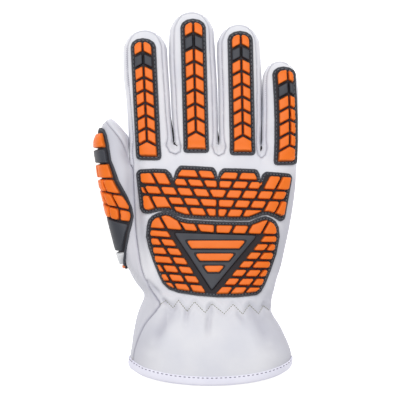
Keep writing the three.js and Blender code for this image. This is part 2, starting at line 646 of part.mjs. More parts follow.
// Corners on a straight side stay corners of the surface when the sides bend in by a hair
const PINCH = 1e-3;
function pinched([u, v], ring) {
  const [middleU, middleV] = [0, 1].map((axis) =>
    ring.reduce((sum, corner) => sum + corner[axis], 0) / ring.length);
  const reach = Math.max(...ring.map((corner) => Math.hypot(corner[0] - middleU, corner[1] - middleV)));
  const [du, dv] = [(u - middleU) / reach, (v - middleV) / reach];
  return new THREE.Vector2(u + PINCH * du * dv ** 2, v + PINCH * dv * du ** 2);
}

// Swaps the longest side of each sliver for the other diagonal of the pair of triangles at that side
const SLIVER = 0.02;
const SWAP_ROUNDS = 4;
function withoutSlivers(triangles, corners) {
  const apart = (a, b) => Math.hypot(corners[a][0] - corners[b][0], corners[a][1] - corners[b][1]);
  for (let round = 0; round < SWAP_ROUNDS; round++) {
    triangles.forEach((triangle, t) => {
      if (Math.abs(signedArea(triangle.map((id) => corners[id]))) > SLIVER) return;
      const turns = triangle.map((id, k) => [id, triangle[(k + 1) % 3], triangle[(k + 2) % 3]]);
      const [a, b, c] = turns.sort((one, other) => apart(other[0], other[2]) - apart(one[0], one[2]))[0];
      const beyond = triangles.findIndex((other, o) => o !== t && other.includes(a) && other.includes(c));
      if (beyond < 0) return;
      const d = triangles[beyond].find((id) => id !== a && id !== c);
      triangles[t] = [a, b, d];
      triangles[beyond] = [b, c, d];
    });
  }
  return triangles;
}

// A level surface of a moulding inside a ring, and the blocks that stand on it with drafted sides
function mouldLevel(mould, place, ring, ringIds, level, blocks) {
  const add = ([u, v], height) => mould.vertices.push(place(u, v, height)) - 1;
  const feet = blocks.map(({ outline }) => outline.map((corner) => add(corner, level)));
  const corners = [ring, ...blocks.map(({ outline }) => outline)].flat();
  const ids = [ringIds, ...feet].flat();
  const vectors = (outline) => outline.map((corner) => pinched(corner, ring));
  const triangles = withoutSlivers(THREE.ShapeUtils.triangulateShape(vectors(ring),
    blocks.map(({ outline }) => vectors(outline))), corners);
  const turned = triangles.reduce((sum, triangle) => sum + signedArea(triangle.map((i) => corners[i])), 0) < 0;
  for (const triangle of triangles) {
    mould.polygons.push((turned ? [...triangle].reverse() : triangle).map((i) => ids[i]));
  }
  blocks.forEach(({ outline, height, blocks: inner }, b) => {
    const crown = drawnIn(outline, BLOCK_DRAFT);
    const crownIds = crown.map((corner) => add(corner, level + height));
    outline.forEach((corner, i) => {
      const next = (i + 1) % outline.length;
      mould.polygons.push([feet[b][i], feet[b][next], crownIds[next], crownIds[i]]);
    });
    mouldLevel(mould, place, crown, crownIds, level + height, inner);
  });
}

// An outline whose long sides are cut into shorter ones, so that it can follow the round of the hand
const LONGEST_SIDE = 12;
const divided = (outline) => outline.flatMap(([x, y], i) => {
  const [nextX, nextY] = outline[(i + 1) % outline.length];
  const count = Math.ceil(Math.hypot(nextX - x, nextY - y) / LONGEST_SIDE);
  return spread(0, 1, count).slice(0, -1).map((t) => [x + (nextX - x) * t, y + (nextY - y) * t]);
});

// The outline of each block: its cell, where it falls inside the field, if that is large enough
const blocksIn = (field, cells) => cells.map(({ cell, height = BLOCK_HEIGHT, cells: inner = [] }) => {
  const outline = divided(tidied(clipped(field, anticlockwise(cell))));
  return { outline, height, blocks: inner.length ? blocksIn(drawnIn(outline, BLOCK_DRAFT), inner) : [] };
}).filter(({ outline }) => outline.length > 2
  && signedArea(drawnIn(outline, SMALLEST_BLOCK)) > 0.3 * signedArea(outline));

// A pad is one moulding over a grid of [u, v], given as rows from the top down, left to right:
// a plate that follows the leather, a flat rim for the stitches, and the blocks inside it
const BASE_TOP = PAD_CLEARANCE + PAD_BASE;
function addPad(name, grid, place, cells) {
  const mould = { vertices: grid.flat().map(([u, v]) => place(u, v, PAD_CLEARANCE)), polygons: [] };
  const ids = grid.map((row, r) => row.map((point, c) => r * row.length + c));
  for (let r = 0; r + 1 < grid.length; r++) {
    for (let c = 0; c + 1 < ids[r].length; c++) {
      mould.polygons.push([ids[r][c], ids[r][c + 1], ids[r + 1][c + 1], ids[r + 1][c]]);
    }
  }
  const ring = rimOf(grid);
  const under = rimOf(ids);
  const upper = ring.map(([u, v]) => mould.vertices.push(place(u, v, BASE_TOP)) - 1);
  ring.forEach((corner, i) => {
    const next = (i + 1) % ring.length;
    mould.polygons.push([under[i], under[next], upper[next], upper[i]]);
  });
  mouldLevel(mould, place, ring, upper, BASE_TOP, blocksIn(drawnIn(ring, PAD_RIM), cells));
  addMesh(name, solidGeometry(mould.vertices, mould.polygons), RUBBER);
}

// Finger pads: a strip with a round top, filled with rows of paired blocks that point to the tip
function addFingerPad(pad) {
  const length = pad.top - pad.foot;
  const columns = [-1, -0.5, 0, 0.5, 1];
  const domed = [1, 0.65, 0.3].map((b) => columns.map((a) => [
    pad.half * a * Math.sqrt(1 - b ** 2 / 2), pad.half * (1 - b * Math.sqrt(1 - a ** 2 / 2))]));
  const straight = spread(pad.half, length, 5).map((v) => columns.map((a) => [pad.half * a, v]));
  const onGlove = ([u, v]) => [pad.topX + (pad.footX - pad.topX) * (v / length) + u, pad.top - v];
  const grid = [...domed, ...straight].map((row) => row.map(onGlove));
  const pitch = (length - 2 * PAD_RIM) / pad.rows;
  const reach = pad.half - PAD_RIM;
  const blocks = [];
  for (let row = 0; row < pad.rows; row++) {
    const upper = (u) => (row === 0 ? 0
      : PAD_RIM + row * pitch + CHEVRON_SLOPE * (u - reach / 2) + GROOVE / 2);
    const lower = (u) => (row === pad.rows - 1 ? length
      : PAD_RIM + (row + 1) * pitch + CHEVRON_SLOPE * (u - reach / 2) - GROOVE / 2);
    const half = (side, inner) => [[side * inner, upper(inner)], [side * pad.half, upper(pad.half)],
      [side * pad.half, lower(pad.half)], [side * inner, lower(inner)]];
    if (row === pad.rows - 1) {
      const [apex, ...left] = half(-1, 0);
      blocks.push({ cell: [apex, ...left.slice(0, -1), ...half(1, 0).slice(1, -1).reverse()].map(onGlove) });
    } else {
      for (const side of [-1, 1]) blocks.push({ cell: half(side, FINGER_CHANNEL / 2).map(onGlove) });
    }
  }
  addPad(`${pad.name}_pad`, grid, overLeather, blocks);
}
FINGER_PADS.forEach(addFingerPad);

// A wide pad: columns from a table, each from its top to its foot, and rows bent to its sides
function wideGrid(columns, levels) {
  const along = (from, to, t) => from + (to - from) * t;
  return levels.map(({ share, left, right }) => columns.map((column) => {
    const x = along(column.topX, column.footX, share);
    const ends = [columns[0], columns.at(-1)].map((end) => along(end.topX, end.footX, share));
    const across = (x - ends[0]) / (ends[1] - ends[0]);
    return [left === undefined ? x : along(left, right, across), along(column.top, column.foot, share)];
  }));
}

// How far a row's line has dropped at an X: the rows of both wide pads fall to the right
const dropAt = (x, fall) => (x < PAD_CENTRE ? fall.left : fall.right) * (x - PAD_CENTRE);

// A row of blocks between two lines, cut by grooves that slant towards the middle of the pad
function rowCells(row, slant, fall) {
  const cells = [];
  for (let i = 0; i + 1 < row.cuts.length; i++) {
    const corner = (cut, line, inset, lineInset) => {
      const lean = Math.abs(cut - PAD_CENTRE) < UPRIGHT_CUT ? 0 : slant * Math.sign(PAD_CENTRE - cut);
      return [cut + inset + lean * (row.at - line), line + lineInset - dropAt(cut, fall)];
    };
    const [a, b] = [row.cuts[i], row.cuts[i + 1]];
    const g = GROOVE / 2;
    cells.push({ cell: [corner(a, row.upper, g, -g), corner(a, row.lower, g, g),
      corner(b, row.lower, -g, g), corner(b, row.upper, -g, -g)] });
  }
  return cells;
}

const knuckleLevels = spread(0, 1, 4).map((share) => ({ share }));
addPad('knuckle_pad', wideGrid(KNUCKLE_COLUMNS, knuckleLevels), overLeather,
  KNUCKLE_ROWS.flatMap((row) => rowCells(row, KNUCKLE_SLANT, KNUCKLE_FALL)));

// The back pad: a top row, then rows whose grooves run along the two sides of the triangle
const onSide = (corner, tip, y) => corner[0] + ((tip[0] - corner[0]) * (y - corner[1])) / (tip[1] - corner[1]);
const backCells = rowCells(BACK_TOP_ROW, BACK_SLANT, BACK_FALL);
BACK_COUNTS.forEach((count, i) => {
  const g = GROOVE / 2;
  for (const [side, sign] of [['left', -1], ['right', 1]]) {
    const steps = [...BACK_STEPS[side].slice(0, count), BACK_STEPS[side].at(-1)];
    const edge = (line, offset) => {
      const x = onSide(TRIANGLE[side], TRIANGLE.tip, line) + sign * offset;
      return [x, line - dropAt(x, BACK_FALL)];
    };
    for (let k = 0; k < count; k++) {
      const [near, far] = [steps[k] + g, steps[k + 1] - g];
      backCells.push({ cell: [edge(BACK_LINES[i] - g, near), edge(BACK_LINES[i + 1] + g, near),
        edge(BACK_LINES[i + 1] + g, far), edge(BACK_LINES[i] - g, far)] });
    }
  }
});
const bars = BARS.map((bar) => {
  const inside = (y) => [onSide(TRIANGLE.left, TRIANGLE.tip, y) + BAR_MARGIN,
    onSide(TRIANGLE.right, TRIANGLE.tip, y) - BAR_MARGIN];
  const [upper, lower] = [inside(bar.top), inside(bar.foot)];
  return { cell: [[upper[0], bar.top], [lower[0], bar.foot], [lower[1], bar.foot], [upper[1], bar.top]],
    height: BAR_HEIGHT };
});
backCells.push({ cell: [TRIANGLE.left, TRIANGLE.tip, TRIANGLE.right], height: TRIANGLE_HEIGHT, cells: bars });
addPad('back_pad', wideGrid(BACK_COLUMNS, BACK_SIDES), overLeather, backCells);

// The thumb's surface by column and by Y, along the loops from its tip to the wrist
const thumbChain = [...thumbLoops.map((loop) => loop.back), ...handLoops.slice(1).map((loop) => loop.thumb.back)];
function thumbAt(column, y) {
  const mix = (list, ids) => new THREE.CatmullRomCurve3(ids.map((id) => list[id]), false, 'catmullrom')
    .getPoint(column / THUMB_QUADS);
  const next = Math.max(1, thumbChain.findIndex((ids) => mix(points, ids).y < y));
  const [upper, lower] = [thumbChain[next - 1], thumbChain[next]];
  const [high, low] = [mix(points, upper), mix(points, lower)];
  const t = (high.y - y) / (high.y - low.y);
  return { point: high.lerp(low, t), normal: mix(normals, upper).lerp(mix(normals, lower), t).normalize() };
}

// The column where the thumb's surface comes to an X seen from above
function thumbColumnAt(x, y) {
  let [low, high] = [1.6, THUMB_QUADS];
  for (let i = 0; i < 30; i++) {
    const middle = (low + high) / 2;
    if (thumbAt(middle, y).point.x < x) low = middle; else high = middle;
  }
  return (low + high) / 2;
}

// The thumb pad lies on the outside of the thumb: its grid runs from its outer to its inner edge
const thumbEdge = (y, name) => {
  const i = Math.max(1, THUMB_PAD.findIndex((row) => row.y <= y));
  const [a, b] = [THUMB_PAD[i - 1], THUMB_PAD[i]];
  return a[name] + ((b[name] - a[name]) * (a.y - y)) / (a.y - b.y);
};
const thumbSpan = (y) => ({ outer: thumbEdge(y, 'outer'), inner: thumbColumnAt(thumbEdge(y, 'inner'), y) });
const overThumb = (share, y, height) => {
  const { outer, inner } = thumbSpan(y);
  const { point, normal } = thumbAt(outer + (inner - outer) * share, y);
  return point.addScaledVector(normal, height);
};
const arcLength = (y) => spread(0, 1, 8).reduce((sum, share, i, all) => (i === 0 ? 0
  : sum + overThumb(share, y, 0).distanceTo(overThumb(all[i - 1], y, 0))), 0);
const placeOnThumb = (u, y, height) => overThumb(u / arcLength(y) + 0.5, y, height);
const thumbGrid = THUMB_PAD.map((row) => spread(-0.5, 0.5, 7).map((share) => [share * arcLength(row.y), row.y]));
const thumbBlocks = THUMB_PAD_ROWS.flatMap((row) => spread(0, row.blocks - 1, Math.max(1, row.blocks - 1))
  .slice(0, row.blocks).map((step) => {
    const g = GROOVE / 2;
    const corner = (k, y, inset, yInset) => {
      const share = k / row.blocks - 0.5;
      return [share * (arcLength(y) - 2 * PAD_RIM) + inset, y + yInset - THUMB_FALL * share];
    };
    return { cell: [corner(step, row.top, g, -g), corner(step, row.foot, g, g),
      corner(step + 1, row.foot, -g, g), corner(step + 1, row.top, -g, -g)], height: row.height };
  }));
addPad('thumb_pad', thumbGrid, placeOnThumb, thumbBlocks);

// The binding is one folded strip round the hem, a lip outside and a lip inside the leather
const last = handLoops.length - 1;
const ringOf = ({ thumb, back, rightMid, sole }) => [...thumb.back.slice(0, -1), ...back, rightMid,
  ...[...sole].reverse(), ...thumb.sole.slice(1, -1).reverse()];
const hemRing = ringOf(handLoops[last]);
const innerRing = ringOf(handLoops[last - 1]);
const bindingSection = (() => {
  const { thickness, lip } = BINDING;
  const outside = SEAM_GAP;
  const inside = -WALL - SEAM_GAP;
  return [[outside, lip], [outside, -SEAM_GAP], [inside, -SEAM_GAP], [inside, lip],
    [inside - thickness, lip], [inside - thickness, -SEAM_GAP - thickness],
    [outside + thickness, -SEAM_GAP - thickness], [outside + thickness, lip]];
})();
const bindingPoints = hemRing.flatMap((id, i) => {
  const up = points[innerRing[i]].clone().sub(points[id]).normalize();
  const out = normals[id].clone().addScaledVector(up, -normals[id].dot(up)).normalize();
  return bindingSection.map(([r, a]) => points[id].clone().addScaledVector(out, r).addScaledVector(up, a));
});
const bindingFaces = hemRing.flatMap((id, i) => bindingSection.map((corner, k) => {
  const [next, side] = [(i + 1) % hemRing.length, (k + 1) % bindingSection.length];
  const size = bindingSection.length;
  return [i * size + k, next * size + k, next * size + side, i * size + side];
}));
addMesh('hem_binding', solidGeometry(bindingPoints, bindingFaces), LEATHER);

// The origin is under the middle of the glove, on the surface that it lies on
const extent = new THREE.Box3().setFromObject(group, true);
group.position.set(-(extent.min.x + extent.max.x) / 2, -(extent.min.y + extent.max.y) / 2, -extent.min.z);

export default group;
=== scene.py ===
"""Leather impact glove for the right hand, standing out as if a hand filled it and lying palm down."""
import math

import bpy
import bmesh
import numpy as np
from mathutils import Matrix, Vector, noise
from mathutils.bvhtree import BVHTree
from mathutils.geometry import delaunay_2d_cdt
from mathutils.kdtree import KDTree


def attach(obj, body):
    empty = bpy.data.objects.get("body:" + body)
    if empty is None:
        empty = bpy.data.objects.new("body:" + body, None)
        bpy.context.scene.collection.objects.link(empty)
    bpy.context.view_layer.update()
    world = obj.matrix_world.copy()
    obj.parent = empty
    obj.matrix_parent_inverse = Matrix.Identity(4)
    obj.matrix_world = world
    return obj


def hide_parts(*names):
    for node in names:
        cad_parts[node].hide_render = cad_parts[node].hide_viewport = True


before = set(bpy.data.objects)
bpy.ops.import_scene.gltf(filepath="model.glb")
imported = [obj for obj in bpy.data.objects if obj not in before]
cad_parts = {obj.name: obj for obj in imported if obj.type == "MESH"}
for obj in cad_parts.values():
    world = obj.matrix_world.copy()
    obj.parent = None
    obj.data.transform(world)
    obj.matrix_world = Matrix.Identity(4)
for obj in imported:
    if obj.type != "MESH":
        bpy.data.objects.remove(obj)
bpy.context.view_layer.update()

# The glove's leather: panels of goatskin, sewn inside out and turned, that keep the form of the hand inside
# They are made as one smooth skin first, which is cut into its panels later, along their seams
# Sizes are in millimetres, with +Y towards the fingertips and the thumb towards -X
MM = 0.001
ORIGIN = Vector((0.107, -0.502, 0.040))
FINGER_QUADS = 4
THUMB_QUADS = 5
SIDE_QUADS = 4
TOP_POWER = 2.5
SOLE_POWER = 3.2

points = []
faces = []


def add_point(x, y, z):
    """A new point of the skin's cage, as its number."""
    points.append(Vector((x, y, z)))
    return len(points) - 1


def spread(start, end, count):
    """Values at even steps from a start to an end, with both of them."""
    return [start + (end - start) * i / count for i in range(count + 1)]


def rounded_power(value, exponent):
    """A sine or cosine bent so that its oval gets fuller with the exponent."""
    return math.copysign(abs(value) ** (2 / exponent), value)


def oval_point(oval, degrees):
    """A point at an angle round an oval section; 0 is the right side, 90 the back of the hand."""
    across = math.cos(math.radians(degrees))
    up = math.sin(math.radians(degrees))
    exponent = oval.get("power", TOP_POWER) if up >= 0 else SOLE_POWER
    half = (oval["right"] - oval["left"]) / 2
    rise = oval["top"] - oval["mid"] if up >= 0 else oval["mid"] - oval["lift"]
    return ((oval["right"] + oval["left"]) / 2 + half * rounded_power(across, exponent), oval["y"],
            oval["mid"] + rise * rounded_power(up, exponent))


def skin(upper, lower, panel):
    """A strip of quads from a row of points to the next row below it; a quad may close to a triangle."""
    for i in range(len(upper) - 1):
        corners = [upper[i], lower[i], lower[i + 1], upper[i + 1]]
        distinct = [corner for k, corner in enumerate(corners) if corner != corners[k - 1]]
        if len(distinct) > 2:
            faces.append((distinct, panel))


# The round tip of a digit: its sections, in degrees up from the first row, and how far the back seam arches
DOME_ANGLES = (56, 38, 19)
DOME_ARCH = (17, 10, 4)
WIDEST_OF_DOME = 0.95


def dome_oval(digit, degrees):
    """A section of a digit's round tip, at an angle up from its first row."""
    first, mid = digit["rows"][0], digit["mid"]
    scale = math.cos(math.radians(degrees))
    centre = (first["left"] + first["right"]) / 2
    half = (first["right"] - first["left"]) / 2 * scale
    return {"y": first["y"] + (digit["tip"] - first["y"]) * math.sin(math.radians(degrees)),
            "left": centre - half, "right": centre + half, "power": digit["power"],
            "mid": mid, "top": mid + (digit["top"] - mid) * scale, "lift": mid - mid * scale}


def digit_sections(digit, quads):
    """Sections of a finger or thumb: the table's rows, after rows that close its round tip."""
    sections = []
    for k, angle in enumerate(DOME_ANGLES):
        if "dome" in digit:
            sections.append({**dome_oval(digit, angle), **digit["dome"][k]})
            continue
        back = [dome_oval(digit, angle + DOME_ARCH[k] * (1 - (2 * t - 1) ** 2)) for t in spread(0, 1, quads)]
        sections.append({**dome_oval(digit, angle), "back": back})
    return sections + [{"power": digit["power"], "mid": digit["mid"], "top": digit["top"], "lift": 0, **row}
                       for row in digit["rows"]]


def digit_loop(section, back_left, back_right, sole_left, sole_right, quads):
    """One loop of points round a digit: its back, its sole, and the two sides between them."""
    ovals = section.get("back") or [section] * (quads + 1)
    back = [add_point(*oval_point(oval, angle))
            for oval, angle in zip(ovals, spread(back_left, back_right, quads))]
    closed = sole_left + 360 == back_left
    sole = [back[0] if closed else add_point(*oval_point(section, sole_left))]
    sole += [add_point(*oval_point(section, angle)) for angle in spread(sole_left, sole_right, quads)[1:]]
    right = [add_point(*oval_point(section, angle))
             for angle in spread(back_right, sole_right, SIDE_QUADS)[1:-1]]
    left = [back[0]] * (SIDE_QUADS - 1)
    if not closed:
        left = [add_point(*oval_point(section, angle))
                for angle in spread(back_left, sole_left + 360, SIDE_QUADS)[1:-1]]
    return {"back": back, "sole": sole, "right": [back[-1], *right, sole[-1]],
            "left": [back[0], *left, sole[0]]}


def close_tip(loop, section, digit, panel):
    """The round end of a digit, a patch between the first back row and the first sole row."""
    edge = math.radians(DOME_ANGLES[0])
    half = (section["right"] - section["left"]) / 2 / math.cos(edge)
    centre = (section["right"] + section["left"]) / 2
    dome_y = digit["tip"] - (digit["tip"] - section["y"]) / (1 - math.sin(edge))
    quads = len(loop["back"]) - 1
    rows = [loop["back"]]
    for j in range(1, SIDE_QUADS):
        start, end = points[loop["left"][j]], points[loop["right"][j]]
        row = [loop["left"][j]]
        for i in range(1, quads):
            at = start.lerp(end, i / quads)
            at.z = points[loop["back"][i]].lerp(points[loop["sole"][i]], j / SIDE_QUADS).z
            above = at.z - digit["mid"]
            rise = digit["top"] - digit["mid"] if above > 0 else digit["mid"]
            power = digit["power"] if above > 0 else SOLE_POWER
            across = (abs((at.x - centre) / half) ** power + abs(above / rise) ** power) ** (1 / power)
            at.y = dome_y + (digit["tip"] - dome_y) * math.sqrt(1 - min(WIDEST_OF_DOME, across) ** 2)
            row.append(add_point(*at))
        rows.append([*row, loop["right"][j]])
    rows.append(loop["sole"])
    for upper, lower in zip(rows[1:], rows[:-1]):
        skin(upper, lower, panel)


def table(columns, rows):
    """A short table as a list of named rows; a shorter row leaves the last columns out."""
    return [dict(zip(columns.split(), row)) for row in rows]


# The four fingers: tubes of soft goatskin, with a back, a sole and a narrow strip down each side
# Each row is a section of one finger, and the back's seams stand in from its sides
FINGER_MID = 9.5
FINGER_TOP = 22
FINGER_POWER = 3
FINGER_SEAM = 44
FINGERS = [
    {"name": "index", "tip": 116.0, "rows": table("y left right", [
        (100.4, -50.5, -20.0), (85.3, -50.2, -19.0), (70.2, -48.6, -18.0), (55.1, -47.4, -17.2),
        (41.4, -46.4, -15.9)])},
    {"name": "middle", "tip": 128.5, "rows": table("y left right", [
        (112.0, -18.5, 12.6), (95.0, -18.7, 13.5), (77.8, -17.7, 14.5), (59.2, -16.8, 15.0),
        (41.4, -15.25, 15.2)])},
    {"name": "ring", "tip": 119.9, "rows": table("y left right", [
        (103.7, 14.35, 44.2), (88.1, 14.8, 45.2), (72.3, 15.4, 45.4), (56.5, 15.6, 45.3),
        (41.4, 15.9, 44.9)])},
    {"name": "little", "tip": 94.6, "rows": table("y left right", [
        (81.2, 45.8, 69.8), (70.9, 45.5, 71.0), (60.6, 45.5, 71.0), (50.3, 45.4, 71.0),
        (40.0, 45.1, 71.0)])},
]
finger_loops = []
for finger in FINGERS:
    finger.update(mid=FINGER_MID, top=FINGER_TOP, power=FINGER_POWER)
    sections = digit_sections(finger, FINGER_QUADS)
    loops = [digit_loop(section, 180 - FINGER_SEAM, FINGER_SEAM, FINGER_SEAM - 180, -FINGER_SEAM,
                        FINGER_QUADS) for section in sections]
    close_tip(loops[0], sections[0], finger, "palm_panel")
    finger_loops.append(loops)

# The thumb: a front panel over its sole and inner side, sewn to a back panel round its outer side
# Their seam turns round the thumb from its tip to the web, and each row has the angle at which it lies
THUMB_OUTER = 225
THUMB_INNER = -50
THUMB = {"tip": 54.8, "mid": 11, "top": 24, "power": TOP_POWER,
         "dome": table("y left right seam", [
             (52.5, -63.2, -55.1, 122), (49.7, -64.8, -52.3, 94), (45.8, -65.9, -49.1, 83)]),
         "rows": table("y left right seam", [
             (41.4, -66.4, -46.5, 72), (34.5, -66.4, -46.5, 41), (27.6, -65.4, -46.3, 18)])}
thumb_sections = digit_sections(THUMB, THUMB_QUADS)
thumb_loops = [digit_loop(section, THUMB_OUTER, section["seam"], THUMB_OUTER - 360, THUMB_INNER, THUMB_QUADS)
               for section in thumb_sections]
close_tip(thumb_loops[0], thumb_sections[0], THUMB, "thumb_front")

# The hand and the cuff: one wide tube down to the hem, which elastic draws in at the wrist
# Each row has the main oval, the left seam of the back and, beside the palm, the lobe of the thumb's root
HAND_ROWS = table("y left right seam mid top lift bow lobe lobe_top end", [
    (29.7, -46.0, 70.1, -44.2, 11, 25.5, 0, 0),
    (21.4, -45.7, 69.4, -43.6, 12, 28.5, 0, 0, -64.6, 24, 30),
    (11.1, -45.4, 68.7, -42.9, 13, 31, 0, 0, -63.0, 25, 40),
    (-1.2, -45.0, 67.4, -42.4, 13.5, 32.5, 0, 0, -60.2, 25, 52),
    (-13.6, -44.6, 65.5, -41.8, 14, 33.5, 0, 0, -57.4, 25, 64),
    (-26.0, -44.4, 63.0, -40.9, 14.5, 34, 0, 0, -54.2, 25, 76),
    (-37.0, -44.2, 60.6, -39.4, 15, 34.5, 0, 0, -51.2, 25.5, 86),
    (-46.6, -43.8, 58.6, -37.8, 15.5, 35, 0, 0, -47.6, 26.5, 96),
    (-55.5, -42.9, 55.6, -35.0, 16.5, 36, 0.5, 0),
    (-63.1, -37.0, 53.6, -30.6, 18, 37.5, 1.5, 0),
    (-67.9, -35.7, 52.2, -27.1, 19, 38.3, 2, 0),
    (-72.7, -37.6, 51.5, -24.7, 20, 38.9, 2.5, 0),
    (-78.2, -39.8, 51.7, -29.5, 20.5, 41, 2, 2),
    (-84.5, -41.4, 55.6, -35.0, 21.5, 44, 1.5, 4),
    (-92.5, -42.8, 60.0, -38.8, 23, 47, 1.5, 6.5),
    (-100.5, -43.8, 63.6, -41.6, 24, 49, 1.8, 9),
    (-106.5, -44.9, 65.2, -43.0, 24.5, 50, 2, 11.5),
    (-112.2, -45.6, 65.0, -43.8, 24.5, 50, 2, 13.2),
])
EDGE_SHARE = 0.75
BOW_POWER = 0.55
SEAM_INSET = 4
EDGE_INSET = 1.0

# Where two fingers part, the strip between them is sewn into the hand as a gusset, so that they can spread
# A row has the gusset's outline on the hand, its width above the fork, and the bottom of the slit
WEBS = [
    {"name": "index_middle", "left": (-18.0, 32.0), "foot": (-13.9, 30.2), "right": (-11.0, 32.3),
     "wide": (-20.4, -10.4, 36.4), "slit": (-15.6, 37.8)},
    {"name": "middle_ring", "left": (12.9, 31.2), "foot": (15.8, 29.2), "right": (19.0, 31.2),
     "wide": (11.3, 20.4, 35.6), "slit": (15.4, 36.6)},
    {"name": "ring_little", "left": (42.9, 30.0), "foot": (45.0, 27.8), "right": (47.3, 30.0),
     "wide": (41.7, 48.5, 34.4), "slit": (44.8, 35.6)},
]
SLIT_TOP = 18.4
SLIT_DEPTH = 9.5
SLIT_FOOT = 1.2
SLIT_BULGE = 0.8


def hand_height(row, x, side):
    """The height of a section of the hand at an X, on the back (side 1) or the sole (side -1)."""
    rise = row["top"] - row["mid"] if side > 0 else row["mid"] - row["lift"]
    across = (2 * x - row["left"] - row["right"]) / (row["right"] - row["left"])
    depth = max(0, min(x - row["left"], row["right"] - x))
    edge = math.sqrt(1 - (1 - min(1, depth / rise)) ** 2)
    if side < 0:
        return row["mid"] - rise * edge
    return row["mid"] + rise * (EDGE_SHARE * edge + (1 - EDGE_SHARE) * (1 - across ** 2))


def bow_at(row, x):
    """How far the hem and the cuff bow down at an X: like the end of an ellipse."""
    across = (2 * x - row["left"] - row["right"]) / (row["right"] - row["left"])
    return row["bow"] * max(0, 1 - across ** 2) ** BOW_POWER


def bowed(row, x, y, z):
    """A new point of a section of the hand, moved down by the section's bow."""
    return add_point(x, y - bow_at(row, x), z)


crown = HAND_ROWS[0]
column_places = [(crown["seam"], crown["y"])]
for web in WEBS:
    start = column_places[-1][0]
    column_places += [(x, crown["y"]) for x in spread(start, web["left"][0], FINGER_QUADS)[1:-1]]
    column_places += [web["left"], web["foot"], web["right"]]
column_places += [(x, crown["y"]) for x in
                  spread(column_places[-1][0], crown["right"] - SEAM_INSET, FINGER_QUADS)[1:]]
crown_width = column_places[-1][0] - crown["seam"]
shares = [(x - crown["seam"]) / crown_width for x, y in column_places]

LOBE_SOLE_ANGLE = -70
LAST_FINGER = len(FINGERS) - 1


def thumb_columns(row, back_seam, sole_seam):
    """The columns beside the back's left seam: the lobe of the thumb, or the narrow side of the wrist."""
    lobe = "lobe" in row
    oval = row
    if lobe:
        end_across = rounded_power(math.cos(math.radians(row["end"])), TOP_POWER)
        half = (row["seam"] - row["lobe"]) / (1 + end_across)
        oval = {**row, "left": row["lobe"], "right": row["lobe"] + 2 * half, "top": row["lobe_top"]}
    sides = []
    for side, seam_id in ((1, back_seam), (-1, sole_seam)):
        first, last = (THUMB_OUTER, row.get("end")) if side > 0 else (THUMB_OUTER - 360, LOBE_SOLE_ANGLE)
        seam = points[seam_id]
        raw = []
        for t in spread(0, 1, THUMB_QUADS):
            if lobe:
                raw.append(Vector(oval_point(oval, first + (last - first) * t)))
                continue
            x = row["left"] + (seam.x - row["left"]) * (1 - math.cos(t * math.pi / 2))
            raw.append(Vector((x, row["y"] - bow_at(row, x), hand_height(row, x, side))))
        miss = seam - raw[-1]
        ids = [add_point(*(at + miss * (i / THUMB_QUADS) ** 2)) for i, at in enumerate(raw[:-1])]
        sides.append([*ids, seam_id])
    sides[1][0] = sides[0][0]
    return {"back": sides[0], "sole": sides[1]}


LEFT_SIDE_ROWS = 2
hand_loops = []
for k, row in enumerate(HAND_ROWS):
    loop = {}
    right_seam = row["right"] - SEAM_INSET
    for name, side in (("back", 1), ("sole", -1)):
        left_seam = row["seam"] if side > 0 else row["seam"] + SEAM_INSET
        ids = []
        for share, (crown_x, crown_y) in zip(shares, column_places):
            x = left_seam + (right_seam - left_seam) * share
            y = crown_y if k == 0 else row["y"]
            ids.append(bowed(row, x, y, hand_height(row, x, side)))
        loop[name] = ids
    near, far = row["right"] - EDGE_INSET, row["right"]
    loop["right"] = [loop["back"][-1], bowed(row, near, row["y"], hand_height(row, near, 1)),
                     bowed(row, far, row["y"], row["mid"]),
                     bowed(row, near, row["y"], hand_height(row, near, -1)), loop["sole"][-1]]
    if k < LEFT_SIDE_ROWS:
        near, far = row["left"] + EDGE_INSET / 2, row["left"]
        loop["left"] = [loop["back"][0], bowed(row, near, row["y"], hand_height(row, near, 1)),
                        bowed(row, far, row["y"], row["mid"]),
                        bowed(row, near, row["y"], hand_height(row, near, -1)), loop["sole"][0]]
    if k > 0:
        loop["thumb"] = thumb_columns(row, loop["back"][0], loop["sole"][0])
    hand_loops.append(loop)

# The fingers run on into the hand: the goatskin of the back and of the palm is cut there without a seam
# Between each two, the strip down their sides ends in a gusset that rises out of the slit
COLUMN_STEP = FINGER_QUADS + 2
root = hand_loops[0]
web_rows = []
for web in WEBS:
    left, right, y = web["wide"]
    x, slit_y = web["slit"]
    chain = [add_point(x, slit_y, SLIT_TOP), add_point(x, slit_y + SLIT_BULGE, SLIT_DEPTH),
             add_point(x, slit_y, SLIT_FOOT)]
    web_rows.append({"left": left, "right": right, "y": y, "chain": chain, "ends": {}})


def join_row(loop, foot, index):
    """The row of a finger beside its gussets, half way between the finger and the hand."""
    made = {}
    before = web_rows[index - 1] if index > 0 else None
    after = web_rows[index] if index < len(web_rows) else None
    ys = [web["y"] for web in (before, after) if web]
    for name in ("back", "sole"):
        half_way = [points[a].lerp(points[b], 0.5) for a, b in zip(loop[name], foot[name])]
        shift_left = before["right"] - half_way[0].x if before else 0
        shift_right = after["left"] - half_way[-1].x if after else 0
        ids = []
        for i, at in enumerate(half_way):
            t = i / FINGER_QUADS
            y_left = before["y"] if before else ys[0]
            y_right = after["y"] if after else ys[-1]
            ids.append(add_point(at.x + shift_left * (1 - t) + shift_right * t,
                                 y_left + (y_right - y_left) * t, at.z))
        made[name] = ids
    for name, web, end in (("left", before, 0), ("right", after, -1)):
        if web:
            inner = web["chain"]
        else:
            inner = [add_point(*points[a].lerp(points[b], 0.5))
                     for a, b in zip(loop[name][1:-1], foot[name][1:-1])]
        made[name] = [made["back"][end], *inner, made["sole"][end]]
    return made


